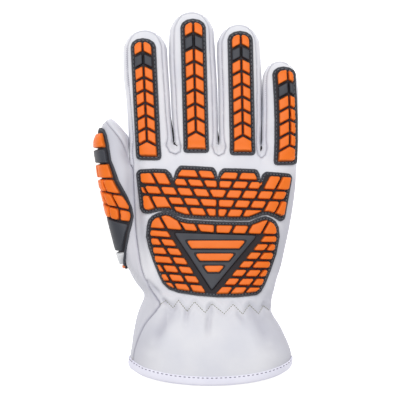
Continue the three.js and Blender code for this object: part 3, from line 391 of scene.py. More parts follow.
for i, loops in enumerate(finger_loops):
    left_panel = "palm_panel" if i == 0 else f"fourchette_{WEBS[i - 1]['name']}"
    right_panel = "back_panel" if i == LAST_FINGER else f"fourchette_{WEBS[i]['name']}"
    first = i * COLUMN_STEP
    foot = {name: root[name][first:first + FINGER_QUADS + 1] for name in ("back", "sole")}
    foot["left"] = root["left"] if i == 0 else None
    foot["right"] = root["right"] if i == LAST_FINGER else None
    joint = join_row(loops[-1], foot, i)
    rows = [*loops, joint]
    for upper, lower in zip(rows[:-1], rows[1:]):
        skin(upper["back"], lower["back"], "back_panel")
        skin(upper["sole"][::-1], lower["sole"][::-1], "palm_panel")
        skin(upper["right"], lower["right"], right_panel)
        skin(upper["left"][::-1], lower["left"][::-1], left_panel)
    skin(joint["back"], foot["back"], "back_panel")
    skin(joint["sole"][::-1], foot["sole"][::-1], "palm_panel")
    if i == 0:
        skin(joint["left"][::-1], foot["left"][::-1], left_panel)
    else:
        web_rows[i - 1]["ends"]["right"] = joint
    if i == LAST_FINGER:
        skin(joint["right"], foot["right"], right_panel)
    else:
        web_rows[i]["ends"]["left"] = joint

for i, web in enumerate(web_rows):
    column = (i + 1) * COLUMN_STEP - 1
    panel = f"fourchette_{WEBS[i]['name']}"
    left, right = web["ends"]["left"], web["ends"]["right"]
    for name, chain_end, turn in (("back", web["chain"][0], 1), ("sole", web["chain"][2], -1)):
        low_left, low, low_right = root[name][column - 1:column + 2]
        upper = [left[name][-1], chain_end, right[name][0]]
        lower = [low_left, low, low_right]
        skin(upper[::turn], lower[::turn], panel)

# The thumb is set into the hand: its back panel runs on down to the hem, beside the back's left seam
# Its front panel is sewn to the palm, where the index finger's outer side begins
thumb_foot = hand_loops[1]
thumb_rows = [*thumb_loops, {"back": thumb_foot["thumb"]["back"], "sole": thumb_foot["thumb"]["sole"],
                             "right": thumb_foot["left"]}]
for upper, lower in zip(thumb_rows[:-1], thumb_rows[1:]):
    skin(upper["back"], lower["back"], "thumb_back")
    skin([*upper["right"], *upper["sole"][::-1][1:]],
         [*lower["right"], *lower["sole"][::-1][1:]], "thumb_front")

# The palm and the back of the hand are one panel each, from the fingers to the hem
# They meet in a seam at the right edge; at the left the thumb's two panels lie between them
THUMB_FOOT_ROW = 7
for k, (upper, lower) in enumerate(zip(hand_loops[:-1], hand_loops[1:])):
    skin([*upper["back"], *upper["right"][1:]], [*lower["back"], *lower["right"][1:]], "back_panel")
    skin(upper["sole"][::-1], lower["sole"][::-1], "palm_panel")
    if k == 0:
        skin(upper["left"][::-1], lower["left"][::-1], "palm_panel")
    else:
        skin(upper["thumb"]["back"], lower["thumb"]["back"], "thumb_back")
        skin(upper["thumb"]["sole"][::-1], lower["thumb"]["sole"][::-1],
             "thumb_front" if k < THUMB_FOOT_ROW else "palm_panel")

# The cage of all these rows is made smooth, and each face of it knows the panel that it is cut from
PANELS = ["palm_panel", "back_panel", "fourchette_index_middle", "fourchette_middle_ring",
          "fourchette_ring_little", "thumb_front", "thumb_back"]
FIT_ROUNDS = 4
SMOOTH_LEVELS = 3


def subdivided(places, levels, limit):
    """The smooth mesh inside the cage, as vertex places, quads and the panel of each quad."""
    mesh = bpy.data.meshes.new("cage")
    mesh.from_pydata([tuple(place) for place in places], [], [corners for corners, panel in faces])
    mesh.polygons.foreach_set("material_index", [PANELS.index(panel) for corners, panel in faces])
    cage = bpy.data.objects.new("cage", mesh)
    bpy.context.collection.objects.link(cage)
    smooth = cage.modifiers.new("smooth", "SUBSURF")
    smooth.levels = levels
    smooth.use_limit_surface = limit
    done = cage.evaluated_get(bpy.context.evaluated_depsgraph_get()).to_mesh()
    vertices = np.empty(len(done.vertices) * 3)
    done.vertices.foreach_get("co", vertices)
    corners = np.array([polygon.vertices[:] for polygon in done.polygons])
    panels = np.empty(len(done.polygons), dtype=int)
    done.polygons.foreach_get("material_index", panels)
    bpy.data.objects.remove(cage)
    bpy.data.meshes.remove(mesh)
    return vertices.reshape(-1, 3), corners, panels


# The cage is pushed out until the smooth surface passes through the points of the tables
wanted = np.array([tuple(point) for point in points])
cage_places = wanted.copy()
for _ in range(FIT_ROUNDS):
    cage_places += wanted - subdivided(cage_places, 1, True)[0][:len(points)]
surface, quads, quad_panels = subdivided(cage_places, SMOOTH_LEVELS, True)
surface[:, 2] = np.maximum(surface[:, 2], 0)


def vertex_normals(places, corners):
    """Smooth normals of a quad mesh."""
    a, b, c, d = (places[corners[:, i]] for i in range(4))
    across = np.cross(c - a, d - b)
    normals = np.zeros_like(places)
    for i in range(4):
        np.add.at(normals, corners[:, i], across)
    return normals / np.maximum(np.linalg.norm(normals, axis=1, keepdims=True), 1e-12)


normals = vertex_normals(surface, quads)
leather_tree = BVHTree.FromPolygons(surface.tolist(), quads.tolist())
ABOVE_ALL = 200


def leather_normal(at, face):
    """The smooth normal at a place on a face of the leather."""
    corners = quads[face]
    weights = 1 / (np.linalg.norm(surface[corners] - np.array(at), axis=1) + 1e-3)
    return Vector((normals[corners] * weights[:, None]).sum(axis=0)).normalized()


def leather_under(x, y):
    """The place on the leather seen from above at an X and Y, or the nearest beside it, and its normal."""
    at, _, face, _ = leather_tree.ray_cast(Vector((x, y, ABOVE_ALL)), Vector((0, 0, -1)))
    if not at:
        at, _, face, _ = leather_tree.find_nearest(Vector((x, y, FINGER_MID)))
    return at, leather_normal(at, face)


def leather_near(place):
    """The place on the leather nearest to a point, and its normal."""
    at, _, face, _ = leather_tree.find_nearest(place)
    return at, leather_normal(at, face)


# Seams, folds and puckers in the leather: a seam that was sewn inside out and turned lies in a narrow valley
# between two soft rolls, and folds run down from the elastic that the zigzag seam holds at the wrist
SEAM_DEPTH = 0.5
SEAM_WIDTH = 0.75
ROLL_HEIGHT = 0.2
ROLL_PLACE = 2.1
ROLL_WIDTH = 1.0
SEAM_SHADE_WIDTH = 0.8
# The binding holds the end of the cuff's left seam nearly flat
HELD_FROM = -92
HELD_RUN = 9
HELD_LEFT_OF = -36
HELD_SHARE = 0.9
CREASES = [
    {"line": [(-15.8, -75.4), (-22.5, -86.0), (-30.4, -99.1)], "width": 4.0, "depth": 1.5},
    {"line": [(-6.2, -76.8), (-6.6, -81.0), (-7.0, -86.1)], "width": 1.8, "depth": 1.0},
    {"line": [(9.9, -73.8), (8.6, -84.0), (8.0, -96.0)], "width": 2.0, "depth": 1.2},
    {"line": [(28.6, -79.1), (34.8, -86.1)], "width": 1.8, "depth": 0.9},
    {"line": [(37.8, -75.4), (44.0, -87.0), (50.2, -99.9)], "width": 4.0, "depth": 1.4},
    {"line": [(-22.3, -69.2), (-15.8, -74.5)], "width": 1.3, "depth": 1.1},
    {"line": [(-33.4, -56.5), (-27.0, -62.8), (-22.0, -68.4)], "width": 1.3, "depth": 1.0},
    {"line": [(46.0, -73.4), (47.4, -66.0)], "width": 1.8, "depth": 0.8},
]
ZIGZAG = [(-25.0, -72.7), (-20.6, -69.9), (-15.5, -74.7), (-12.0, -69.5), (-6.0, -77.0), (-1.0, -70.6),
          (6.2, -77.9), (10.9, -71.9), (19.2, -78.6), (25.4, -72.3), (31.8, -78.9), (36.4, -72.7),
          (42.8, -78.9), (46.0, -73.4), (50.2, -76.8)]
ZIGZAG_DEPTH = 0.45
ZIGZAG_WIDTH = 0.9
PUCKER = 0.5
PUCKER_PLACE = 3.2
PUCKER_WIDTH = 1.6
BACK_ABOVE = 12
BACK_TURN = 3
FADE = 9
FADE_SHARE = 0.6
FOLD_ROLL = 0.2
FOLD_SHADE = 0.55
# The cuff's left seam, in the light's lee, is the darkest
CUFF_SEAM = {"below": -60, "left_of": -20, "shade": 1.7}
LUMP = 0.22
LUMP_SIZE = 17


def distance_to_line(places, line):
    """How far each place in the plan lies from a bent line."""
    nearest = np.full(len(places), 1e9)
    for (ax, ay), (bx, by) in zip(line[:-1], line[1:]):
        along = np.array((bx - ax, by - ay))
        offset = places[:, :2] - np.array((ax, ay))
        t = np.clip(offset @ along / (along @ along), 0, 1)
        nearest = np.minimum(nearest, np.linalg.norm(offset - t[:, None] * along, axis=1))
    return nearest


def seam_edges():
    """The edges of the fine mesh where two panels meet, and those round the cuff's mouth."""
    sides = {}
    for face, corners in enumerate(quads):
        for i in range(4):
            a, b = corners[i], corners[(i + 1) % 4]
            sides.setdefault((min(a, b), max(a, b)), []).append(quad_panels[face])
    seams = [edge for edge, panels in sides.items() if len(panels) == 2 and panels[0] != panels[1]]
    hem = [edge for edge, panels in sides.items() if len(panels) == 1]
    return seams, hem


def distance_to_edges(edges):
    """How far each point of the fine mesh lies from these edges of it."""
    samples = [surface[a] + (surface[b] - surface[a]) * t for a, b in edges for t in (0, 0.33, 0.67)]
    tree = KDTree(len(samples))
    for i, sample in enumerate(samples):
        tree.insert(sample, i)
    tree.balance()
    return np.array([tree.find(place)[2] for place in surface.tolist()])


seams, hem_edges = seam_edges()
seam_distance = distance_to_edges(seams)

lift = -SEAM_DEPTH * np.exp(-(seam_distance / SEAM_WIDTH) ** 2)
lift += ROLL_HEIGHT * np.exp(-((seam_distance - ROLL_PLACE) / ROLL_WIDTH) ** 2)
held_flat = np.clip((HELD_FROM - surface[:, 1]) / HELD_RUN, 0, 1) * (surface[:, 0] < HELD_LEFT_OF)
lift *= 1 - HELD_SHARE * held_flat
on_back = np.clip(normals[:, 2] * BACK_TURN, 0, 1) * (surface[:, 2] > BACK_ABOVE)
crease_shade = np.exp(-(seam_distance / SEAM_SHADE_WIDTH) ** 2)
for crease in CREASES:
    apart = distance_to_line(surface, crease["line"])
    start, end = crease["line"][0], crease["line"][-1]
    fade = min(FADE, FADE_SHARE * math.dist(start, end))
    strength = on_back * np.clip(np.linalg.norm(surface[:, :2] - np.array(end), axis=1) / fade, 0, 1)
    valley = strength * np.exp(-(apart / crease["width"]) ** 2)
    lift -= crease["depth"] * valley
    roll = np.exp(-((apart - 2 * crease["width"]) / crease["width"]) ** 2)
    lift += strength * FOLD_ROLL * crease["depth"] * roll
    crease_shade = np.maximum(crease_shade, FOLD_SHADE * valley)
beside_cuff_seam = (surface[:, 1] < CUFF_SEAM["below"]) & (surface[:, 0] < CUFF_SEAM["left_of"])
crease_shade *= np.where(beside_cuff_seam, CUFF_SEAM["shade"], 1)
zigzag_distance = distance_to_line(surface, ZIGZAG)
lift -= on_back * ZIGZAG_DEPTH * np.exp(-(zigzag_distance / ZIGZAG_WIDTH) ** 2)
lift += on_back * PUCKER * np.exp(-((zigzag_distance - PUCKER_PLACE) / PUCKER_WIDTH) ** 2)
lift += LUMP * np.array([noise.noise(Vector(place) / LUMP_SIZE) for place in surface.tolist()])
shaped = surface + normals * lift[:, None]
shaped[:, 2] = np.maximum(shaped[:, 2], 0)


# The leather panels are full-grain goatskin, tanned white: a fine pebbled grain with a soft satin sheen
# The eye reads it as pale grey with a cool, faintly lavender cast where the light falls off
# Each is cut along its seams and sewn to the next, and is skived thin where the hem's binding folds over it
WALL = 1.5
SEAM_GAP = 0.01
NARROWEST_SHARE = 0.3
SKIVED_EDGE = 0.35
SKIVED_WIDTH = 4.6


def colour(code):
    """A hex sRGB colour as linear red, green, blue and alpha."""
    channels = [int(code[i:i + 2], 16) / 255 for i in (1, 3, 5)]
    return (*[c / 12.92 if c <= 0.04045 else ((c + 0.055) / 1.055) ** 2.4 for c in channels], 1)


def per(millimetres):
    """The scale of a pattern whose features are this large."""
    return 1 / (millimetres * MM)


def new_material(name):
    """An empty material and its node tree."""
    material = bpy.data.materials.new(name)
    material.use_nodes = True
    material.node_tree.nodes.clear()
    return material, material.node_tree


def add_node(tree, kind, settings=None, links=None):
    """A node with its settings, which are sockets or properties, and its links from other sockets."""
    made = tree.nodes.new(kind)
    for name, value in (settings or {}).items():
        if isinstance(name, str) and name not in made.inputs:
            setattr(made, name, value)
        else:
            made.inputs[name].default_value = value
    for name, source in (links or {}).items():
        tree.links.new(source, made.inputs[name])
    return made


def relief(tree, strength, depth, height, under=None):
    """A bump of a depth in millimetres, over the one under it."""
    links = {"Height": height, "Normal": under.outputs["Normal"]} if under else {"Height": height}
    return add_node(tree, "ShaderNodeBump", {"Strength": strength, "Distance": depth * MM}, links)


def blended(tree, share, base, other):
    """A base, which is a hex colour or a socket, that goes over to another hex colour by a share."""
    mix = add_node(tree, "ShaderNodeMix", {"data_type": "RGBA", 7: colour(other)}, {0: share})
    if isinstance(base, str):
        mix.inputs[6].default_value = colour(base)
    else:
        tree.links.new(base, mix.inputs[6])
    return mix.outputs[2]


def finished(material, tree, settings, links=None):
    """A material whose shader is joined to its output."""
    shader = add_node(tree, "ShaderNodeBsdfPrincipled", settings, links)
    add_node(tree, "ShaderNodeOutputMaterial", links={"Surface": shader.outputs["BSDF"]})
    return material


def white_goatskin(name, dark, light):
    """Full-grain goatskin, drum-dyed white and lightly finished, so its grain shows more than its gloss."""
    material, tree = new_material(name)
    where = add_node(tree, "ShaderNodeTexCoord").outputs["Object"]
    # Hide varies over a few centimetres, from nearly white to a cool lavender grey
    clouds = add_node(tree, "ShaderNodeTexNoise", {"Scale": per(28), "Detail": 3}, {"Vector": where})
    tint = add_node(tree, "ShaderNodeValToRGB", links={"Fac": clouds.outputs["Fac"]})
    tint.color_ramp.elements[0].color = colour(dark)
    tint.color_ramp.elements[1].color = colour(light)
    tint.color_ramp.elements[0].position = 0.35
    tint.color_ramp.elements[1].position = 0.65
    # Painted shade: the thumb's panels are greyed, and the back greys where it turns to the sides, at its
    # right edge and over the cuff, where the light falls off
    painted_shade = add_node(tree, "ShaderNodeAttribute", {"attribute_name": "painted_shade"})
    painted_shade_colour = blended(tree, painted_shade.outputs["Fac"], tint.outputs["Color"], "#A4A3B0")
    # Painted shade: seams and folds are darkened along their valleys, where shade falls
    seam = add_node(tree, "ShaderNodeAttribute", {"attribute_name": "seam"})
    shaded = blended(tree, seam.outputs["Fac"], painted_shade_colour, "#9C9BAA")
    # Goat grain is about 0.7 mm across; it is drawn at 1.3 mm so that it shows at all
    pebbles = add_node(tree, "ShaderNodeTexVoronoi", {"Scale": per(1.3)}, {"Vector": where})
    fine = relief(tree, 0.12, 0.15, pebbles.outputs["Distance"])
    # Soft wrinkles about 6 mm apart, from staking the hide supple, break its gloss
    wrinkles = add_node(tree, "ShaderNodeTexNoise", {"Scale": per(6), "Detail": 4, "Roughness": 0.6},
                        {"Vector": where})
    soft = relief(tree, 0.25, 0.35, wrinkles.outputs["Fac"], fine)
    gloss = add_node(tree, "ShaderNodeMapRange", {"To Min": 0.5, "To Max": 0.66},
                     {"Value": wrinkles.outputs["Fac"]})
    return finished(material, tree, {"IOR": 1.5, "Sheen Weight": 0.05}, {
        "Base Color": shaded, "Roughness": gloss.outputs["Result"], "Normal": soft.outputs["Normal"]})


def suede_flesh_side():
    """The inside of the same hide, left as suede: a matt, fibrous cream."""
    material, tree = new_material("suede_flesh_side")
    where = add_node(tree, "ShaderNodeTexCoord").outputs["Object"]
    # The nap's fibres are about 0.3 mm; they are drawn as tufts of 1.5 mm
    nap = add_node(tree, "ShaderNodeTexNoise", {"Scale": per(1.5), "Detail": 5}, {"Vector": where})
    tint = add_node(tree, "ShaderNodeValToRGB", links={"Fac": nap.outputs["Fac"]})
    tint.color_ramp.elements[0].color = colour("#BDB9B2")
    tint.color_ramp.elements[1].color = colour("#DAD7D0")
    fibres = relief(tree, 0.5, 0.3, nap.outputs["Fac"])
    return finished(material, tree, {"Roughness": 0.92, "IOR": 1.45, "Sheen Weight": 0.3}, {
        "Base Color": tint.outputs["Color"], "Normal": fibres.outputs["Normal"]})


goatskin = white_goatskin("white_goatskin", "#DADBE3", "#E5E5EA")
suede = suede_flesh_side()


def new_piece(name, vertices, polygons, materials):
    """A piece of the glove from places in millimetres, smooth shaded, riding on the glove's one body."""
    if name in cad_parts:
        name = f"shown_{name}"
    mesh = bpy.data.meshes.new(name)
    mesh.from_pydata((np.array(vertices) + np.array(ORIGIN)) * MM, [], polygons)
    for material in materials:
        mesh.materials.append(material)
    mesh.polygons.foreach_set("use_smooth", [True] * len(mesh.polygons))
    mesh.update()
    piece = bpy.data.objects.new(name, mesh)
    bpy.context.collection.objects.link(piece)
    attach(piece, "root")
    return piece


SEAM_SHADE = 0.5
# Painted shade that greys the hide, from 0 to 1: on the thumb's panels, and on the back at its sides, its
# right edge and the cuff
PANEL_PAINTED_SHADE = {"thumb_back": 0.42, "thumb_front": 0.1}
SIDE_PAINTED_SHADE = 0.5
SIDE_TURN = {"from": 0.95, "over": 0.5}
EDGE_PAINTED_SHADE = 0.75
EDGE_REACH = 11
EDGE_FADE = 8
CUFF_PAINTED_SHADE = 0.13
FINGERS_FROM = 24
CUFF_FROM = -50
SHADE_FADE = 12


def painted_shade_amount(panel, ids):
    """How much painted shade greys the hide of a panel at its points, from 0 to 1."""
    made = np.full(len(ids), PANEL_PAINTED_SHADE.get(panel, 0.0))
    if panel == "back_panel":
        x, y = surface[ids, 0], surface[ids, 1]
        side = np.clip((SIDE_TURN["from"] - normals[ids, 2]) / SIDE_TURN["over"], 0, 1)
        on_hand = np.clip((FINGERS_FROM - y) / SHADE_FADE, 0, 1)
        right = np.interp(-y, [-row["y"] for row in HAND_ROWS], [row["right"] for row in HAND_ROWS])
        edge = np.clip(1 - (right - x) / EDGE_REACH, 0, 1) * np.clip((y - CUFF_FROM) / EDGE_FADE + 1, 0, 1)
        made += np.maximum(SIDE_PAINTED_SHADE * side, EDGE_PAINTED_SHADE * edge) * on_hand
        made += CUFF_PAINTED_SHADE * np.clip((CUFF_FROM - y) / SHADE_FADE, 0, 1)
    return np.minimum(made, 1)


def panel_of_leather(panel):
    """One panel: its quads, drawn back from the seams by half the gap, and made as thick as the hide."""
    own = quads[quad_panels == PANELS.index(panel)]
    ids, local = np.unique(own, return_inverse=True)
    local = local.reshape(own.shape)
    edges = np.sort(np.concatenate([local[:, [i, (i + 1) % 4]] for i in range(4)]), axis=1)
    edges, uses = np.unique(edges, axis=0, return_counts=True)
    border = np.zeros(len(ids), dtype=bool)
    border[edges[uses == 1].ravel()] = True
    places = shaped[ids].copy()
    pull = np.zeros_like(places)
    for a, b in edges:
        if border[a] and not border[b]:
            pull[a] += places[b] - places[a]
        elif border[b] and not border[a]:
            pull[b] += places[a] - places[b]
    size = np.linalg.norm(pull, axis=1)
    moved = size > 0
    places[moved] += pull[moved] * np.minimum(SEAM_GAP / 2 / size[moved], NARROWEST_SHARE)[:, None]
    piece = new_piece(panel, places, local.tolist(), [goatskin, suede])
    for name, values in (("seam", crease_shade[ids] * SEAM_SHADE), ("painted_shade", painted_shade_amount(panel, ids))):
        piece.data.attributes.new(name, "FLOAT", "POINT").data.foreach_set("value", values)
    full = piece.vertex_groups.new(name="thickness")
    for i, share in enumerate(hide_thickness[ids].tolist()):
        full.add([i], share, "REPLACE")
    wall = piece.modifiers.new("wall", "SOLIDIFY")
    wall.thickness = WALL * MM
    wall.vertex_group = "thickness"
    wall.offset = -1
    wall.material_offset = 1
    wall.use_rim = True
    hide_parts(panel)
    return piece


hide_thickness = np.clip(distance_to_edges(hem_edges) / SKIVED_WIDTH, SKIVED_EDGE, 1)
leather_panels = {panel: panel_of_leather(panel) for panel in PANELS}

# Rubber pads: each one moulding of grey thermoplastic rubber with orange blocks cast on it
# A plate 1.3 mm thick follows the leather, and its flat rim is sewn down all round
# The blocks stand 3 mm high to take a knock, and the grooves between them let the pad bend with the hand
PAD_CLEARANCE = 0.55
PAD_BASE = 1.3
BASE_TOP = PAD_CLEARANCE + PAD_BASE
FIELD_INSET = 2.4
BLOCK_HEIGHT = 3.2
BLOCK_DRAFT = 0.6
BLOCK_EDGE = 0.6
BLOCK_EDGE_TURNS = (30, 60, 90)
BLOCK_CORNER = 1.4
BLOCK_ROOT = 0.2
GROOVE = 0.85
FLOOR_DROP = 0.3
LATTICE = 2.0
LATTICE_MARGIN = 0.4
# The pads are laid out as they show from straight above, to an eye two metres up
CAMERA_AWAY = 2.0
CAMERA_PLACE = Vector((2.75, -1.24))
LEAN_ROUNDS = 4
LEAN_PACE = 0.65


def over_leather(seen_x, seen_y, height, top=BASE_TOP):
    """A point of a pad over the leather; what is this high on the pad shows at that X and Y."""
    base, normal = leather_under(seen_x, seen_y)
    nearer = 1 - (base.z + top) * MM / CAMERA_AWAY
    shown = CAMERA_PLACE + (Vector((seen_x, seen_y)) - CAMERA_PLACE) * nearer
    foot = shown - normal.xy * top
    for _ in range(LEAN_ROUNDS):
        base, normal = leather_under(foot.x, foot.y)
        foot = foot.lerp(shown - normal.xy * top, LEAN_PACE)
    return base + normal * height


def over_leather_high(x, y, height):
    """The same for the blocks, whose tops show at that X and Y."""
    return over_leather(x, y, height, BASE_TOP + BLOCK_HEIGHT)


def signed_area(outline):
    """The area of an outline, which is positive if it runs anticlockwise."""
    return sum(x * ny - nx * y for (x, y), (nx, ny) in zip(outline, outline[1:] + outline[:1])) / 2


def anticlockwise(outline):
    """The same outline, turned round if it runs clockwise."""
    return outline if signed_area(outline) > 0 else outline[::-1]


SHARPEST_MITRE = 0.5


def drawn_in(outline, distance):
    """An outline drawn in by a distance, with its corners mitred."""
    made = []
    for i, at in enumerate(outline):
        here = Vector(at)
        before = here - Vector(outline[i - 1])
        after = Vector(outline[(i + 1) % len(outline)]) - here
        first = Vector((-before.y, before.x)).normalized()
        second = Vector((-after.y, after.x)).normalized()
        made.append(tuple(here + (first + second) * distance / max(SHARPEST_MITRE, 1 + first.dot(second))))
    return made


def clipped(outline, cell):
    """The part of an outline that lies inside a convex cell."""
    for (ax, ay), (bx, by) in zip(cell, cell[1:] + cell[:1]):
        kept = []
        sides = [(bx - ax) * (y - ay) - (by - ay) * (x - ax) for x, y in outline]
        for i, (x, y) in enumerate(outline):
            px, py = outline[i - 1]
            if (sides[i - 1] < 0) != (sides[i] < 0):
                t = sides[i - 1] / (sides[i - 1] - sides[i])
                kept.append((px + (x - px) * t, py + (y - py) * t))
            if sides[i] >= 0:
                kept.append((x, y))
        outline = kept
        if not outline:
            return []
    return outline


SHORTEST_SIDE = 0.9
SMALLEST_INSET = 0.6
SMALLEST_SHARE = 0.3
OUTLINE_CORNER = 3.0
FLATTEST_CORNER = 0.35


def tidied(outline):
    """An outline without short sides and without corners on a straight line."""
    kept = [at for i, at in enumerate(outline)
            if math.dist(at, outline[(i + 1) % len(outline)]) > SHORTEST_SIDE]
    while len(kept) > 3:
        flat = [i for i in range(len(kept))
                if abs(signed_area([kept[i - 1], kept[i], kept[(i + 1) % len(kept)]])) < FLATTEST_CORNER]
        if not flat:
            break
        kept.pop(flat[0])
    return kept


ARC_STEPS = 3
LONGEST_ARC = 0.45
LONGEST_STEP = 2.2


def rounded(corners, radius, like=None):
    """An outline with rounded corners; the sides are stepped as those of the outline that it is like."""
    count = len(corners)
    like = like or corners
    arcs = []
    for i in range(count):
        here = Vector(corners[i])
        back = Vector(corners[i - 1]) - here
        on = Vector(corners[(i + 1) % count]) - here
        turn = math.pi - back.angle(on)
        reach = min(radius * math.tan(turn / 2), LONGEST_ARC * back.length, LONGEST_ARC * on.length)
        start, end = here + back.normalized() * reach, here + on.normalized() * reach
        arcs.append([start.lerp(here, t).lerp(here.lerp(end, t), t) for t in spread(0, 1, ARC_STEPS)])
    made = []
    for i in range(count):
        made += [tuple(at) for at in arcs[i]]
        steps = max(1, math.ceil(math.dist(like[i], like[(i + 1) % count]) / LONGEST_STEP))
        start, end = arcs[i][-1], arcs[(i + 1) % count][0]
        made += [tuple(start.lerp(end, k / steps)) for k in range(1, steps)]
    return made


class Moulding:
    """A mesh that grows by rings over the leather."""

    def __init__(self, place):
        self.place = place
        self.vertices = []
        self.polygons = []
        self.painted_shade_from = 0
        self.painted_shade_to = 0

    def ring(self, outline, height):
        """A new ring of points at a height over the leather."""
        first = len(self.vertices)
        self.vertices += [self.place(x, y, height) for x, y in outline]
        return list(range(first, len(self.vertices)))

    def wall(self, lower, upper):
        """The faces between a ring and the next one above it."""
        for i in range(len(lower)):
            j = (i + 1) % len(lower)
            self.polygons.append((lower[i], lower[j], upper[j], upper[i]))

    def cap(self, outline, ids, height, down=False):
        """Fills a ring with triangles over a lattice, so that the face follows the leather."""
        xs, ys = zip(*outline)
        edge = drawn_in(outline, LATTICE_MARGIN * LATTICE)
        inner = []
        for row, y in enumerate(np.arange(min(ys) + LATTICE / 2, max(ys), LATTICE)):
            for x in np.arange(min(xs) + LATTICE / (2 + 2 * (row % 2)), max(xs), LATTICE):
                if inside(edge, x, y):
                    inner.append((x, y))
        first = len(self.vertices)
        self.vertices += [self.place(x, y, height) for x, y in inner]
        every = [*ids, *range(first, len(self.vertices))]
        loop = [(i, (i + 1) % len(outline)) for i in range(len(outline))]
        flat = [Vector(at) for at in [*outline, *inner]]
        spots, _, triangles, sources, _, _ = delaunay_2d_cdt(flat, loop, [], 1, 1e-5)
        known = []
        for spot, source in zip(spots, sources):
            if source:
                known.append(every[source[0]])
                continue
            known.append(len(self.vertices))
            self.vertices.append(self.place(spot.x, spot.y, height))
        for triangle in triangles:
            corners = [known[i] for i in triangle]
            if len(set(corners)) == 3:
                self.polygons.append(tuple(corners[::-1] if down else corners))


def inside(outline, x, y):
    """Whether a point of the plan lies inside an outline."""
    within = False
    for (ax, ay), (bx, by) in zip(outline, outline[1:] + outline[:1]):
        if (ay > y) != (by > y) and x < ax + (bx - ax) * (y - ay) / (by - ay):
            within = not within
    return within


# The grey plate's profile as inset and height, from its foot: a rounded edge, the stitches' lane, the floor
RIM_PROFILE = [(0, PAD_CLEARANCE), (0, BASE_TOP - 0.35), (0.12, BASE_TOP - 0.1), (0.4, BASE_TOP),
               (1.0, BASE_TOP), (1.2, BASE_TOP - 0.3), (1.9, BASE_TOP - 0.3), (2.1, BASE_TOP - 0.05),
               (2.4, BASE_TOP - FLOOR_DROP)]
STITCH_LANE = 1.55


def moulded_plate(moulding, outline, profile):
    """The grey plate of a pad inside its outline."""
    rings = [moulding.ring(drawn_in(outline, inset) if inset else outline, height)
             for inset, height in profile]
    moulding.cap(outline, rings[0], profile[0][1], down=True)
    for lower, upper in zip(rings[:-1], rings[1:]):
        moulding.wall(lower, upper)
    moulding.painted_shade_from = len(moulding.polygons) - len(outline)
    moulding.cap(drawn_in(outline, profile[-1][0]), rings[-1], profile[-1][1])
    moulding.painted_shade_to = len(moulding.polygons)


def moulded_block(moulding, corners, height, radius=BLOCK_CORNER):
    """One block with rounded corners, drafted sides and a rounded top edge."""
    foot = BASE_TOP - FLOOR_DROP - BLOCK_ROOT
    top = BASE_TOP + height
    profile = [(0, foot), (BLOCK_DRAFT, top - BLOCK_EDGE)]
    for degrees in BLOCK_EDGE_TURNS:
        turn = math.radians(degrees)
        profile.append((BLOCK_DRAFT + BLOCK_EDGE * (1 - math.cos(turn)),
                        top - BLOCK_EDGE * (1 - math.sin(turn))))
    outlines = [rounded(drawn_in(corners, inset), radius, corners) for inset, _ in profile]
    rings = [moulding.ring(outline, level) for outline, (_, level) in zip(outlines, profile)]
    for lower, upper in zip(rings[:-1], rings[1:]):
        moulding.wall(lower, upper)
    moulding.cap(outlines[-1], rings[-1], top)
    moulding.polygons.append(tuple(rings[0][::-1]))


def block_outline(field, cell):
    """The corners of a block: its cell, where it falls inside the pad's field."""
    corners = tidied(clipped(field, anticlockwise(cell)))
    if len(corners) < 3:
        return None
    kept = signed_area(drawn_in(corners, SMALLEST_INSET)) >= SMALLEST_SHARE * signed_area(corners)
    return corners if kept else None


def moulded_rubber(name, base, shade, edge, roughness):
    """Injection-moulded thermoplastic rubber: satin, faintly mottled, with a fine sparked texture."""
    material, tree = new_material(name)
    where = add_node(tree, "ShaderNodeTexCoord").outputs["Object"]
    # The melt's flow marks are about 9 mm apart, and barely change its tone and gloss
    flow = add_node(tree, "ShaderNodeTexNoise", {"Scale": per(9), "Detail": 3}, {"Vector": where})
    tint = blended(tree, flow.outputs["Fac"], base, shade)
    # Painted highlight: sharp corners and edges are made paler, as if they caught the light
    edge_pointiness = add_node(tree, "ShaderNodeNewGeometry").outputs["Pointiness"]
    highlight_share = add_node(tree, "ShaderNodeMapRange", {"From Min": 0.53, "From Max": 0.66, "To Max": 0.5},
                    {"Value": edge_pointiness})
    highlighted = blended(tree, highlight_share.outputs["Result"], tint, edge)
    # The mould's spark texture is about 0.1 mm; it is drawn at 0.8 mm so that it breaks the gloss
    spark = add_node(tree, "ShaderNodeTexNoise", {"Scale": per(0.8), "Detail": 2}, {"Vector": where})
    grain = relief(tree, 0.12, 0.1, spark.outputs["Fac"])
    gloss = add_node(tree, "ShaderNodeMapRange", {"To Min": roughness - 0.06, "To Max": roughness + 0.06},
                     {"Value": flow.outputs["Fac"]})
    return finished(material, tree, {"IOR": 1.5, "Specular IOR Level": 0.3}, {
        "Base Color": highlighted, "Roughness": gloss.outputs["Result"], "Normal": grain.outputs["Normal"]})


RIM_STEP = 1.1


def dense(corners):
    """An outline with points at even, short steps."""
    made = []
    for at, after in zip(corners, corners[1:] + corners[:1]):
        steps = max(1, round(math.dist(at, after) / RIM_STEP))
        made += [(at[0] + (after[0] - at[0]) * k / steps, at[1] + (after[1] - at[1]) * k / steps)
                 for k in range(steps)]
    return made


# The third colour of each rubber is its painted edge highlight
orange_rubber = moulded_rubber("orange_rubber", "#F1771F", "#EC6F19", "#FF9A58", 0.5)
grey_rubber = moulded_rubber("slate_grey_rubber", "#42444B", "#3B3D44", "#5C6068", 0.55)
# The grooves' floor is painted near black: the shade that falls deep between the blocks
painted_groove_shade = moulded_rubber("painted_shade_groove_floor", "#332F33", "#2A262A", "#453F45", 0.75)
PAD_STITCH = 2.2
lane_points = []


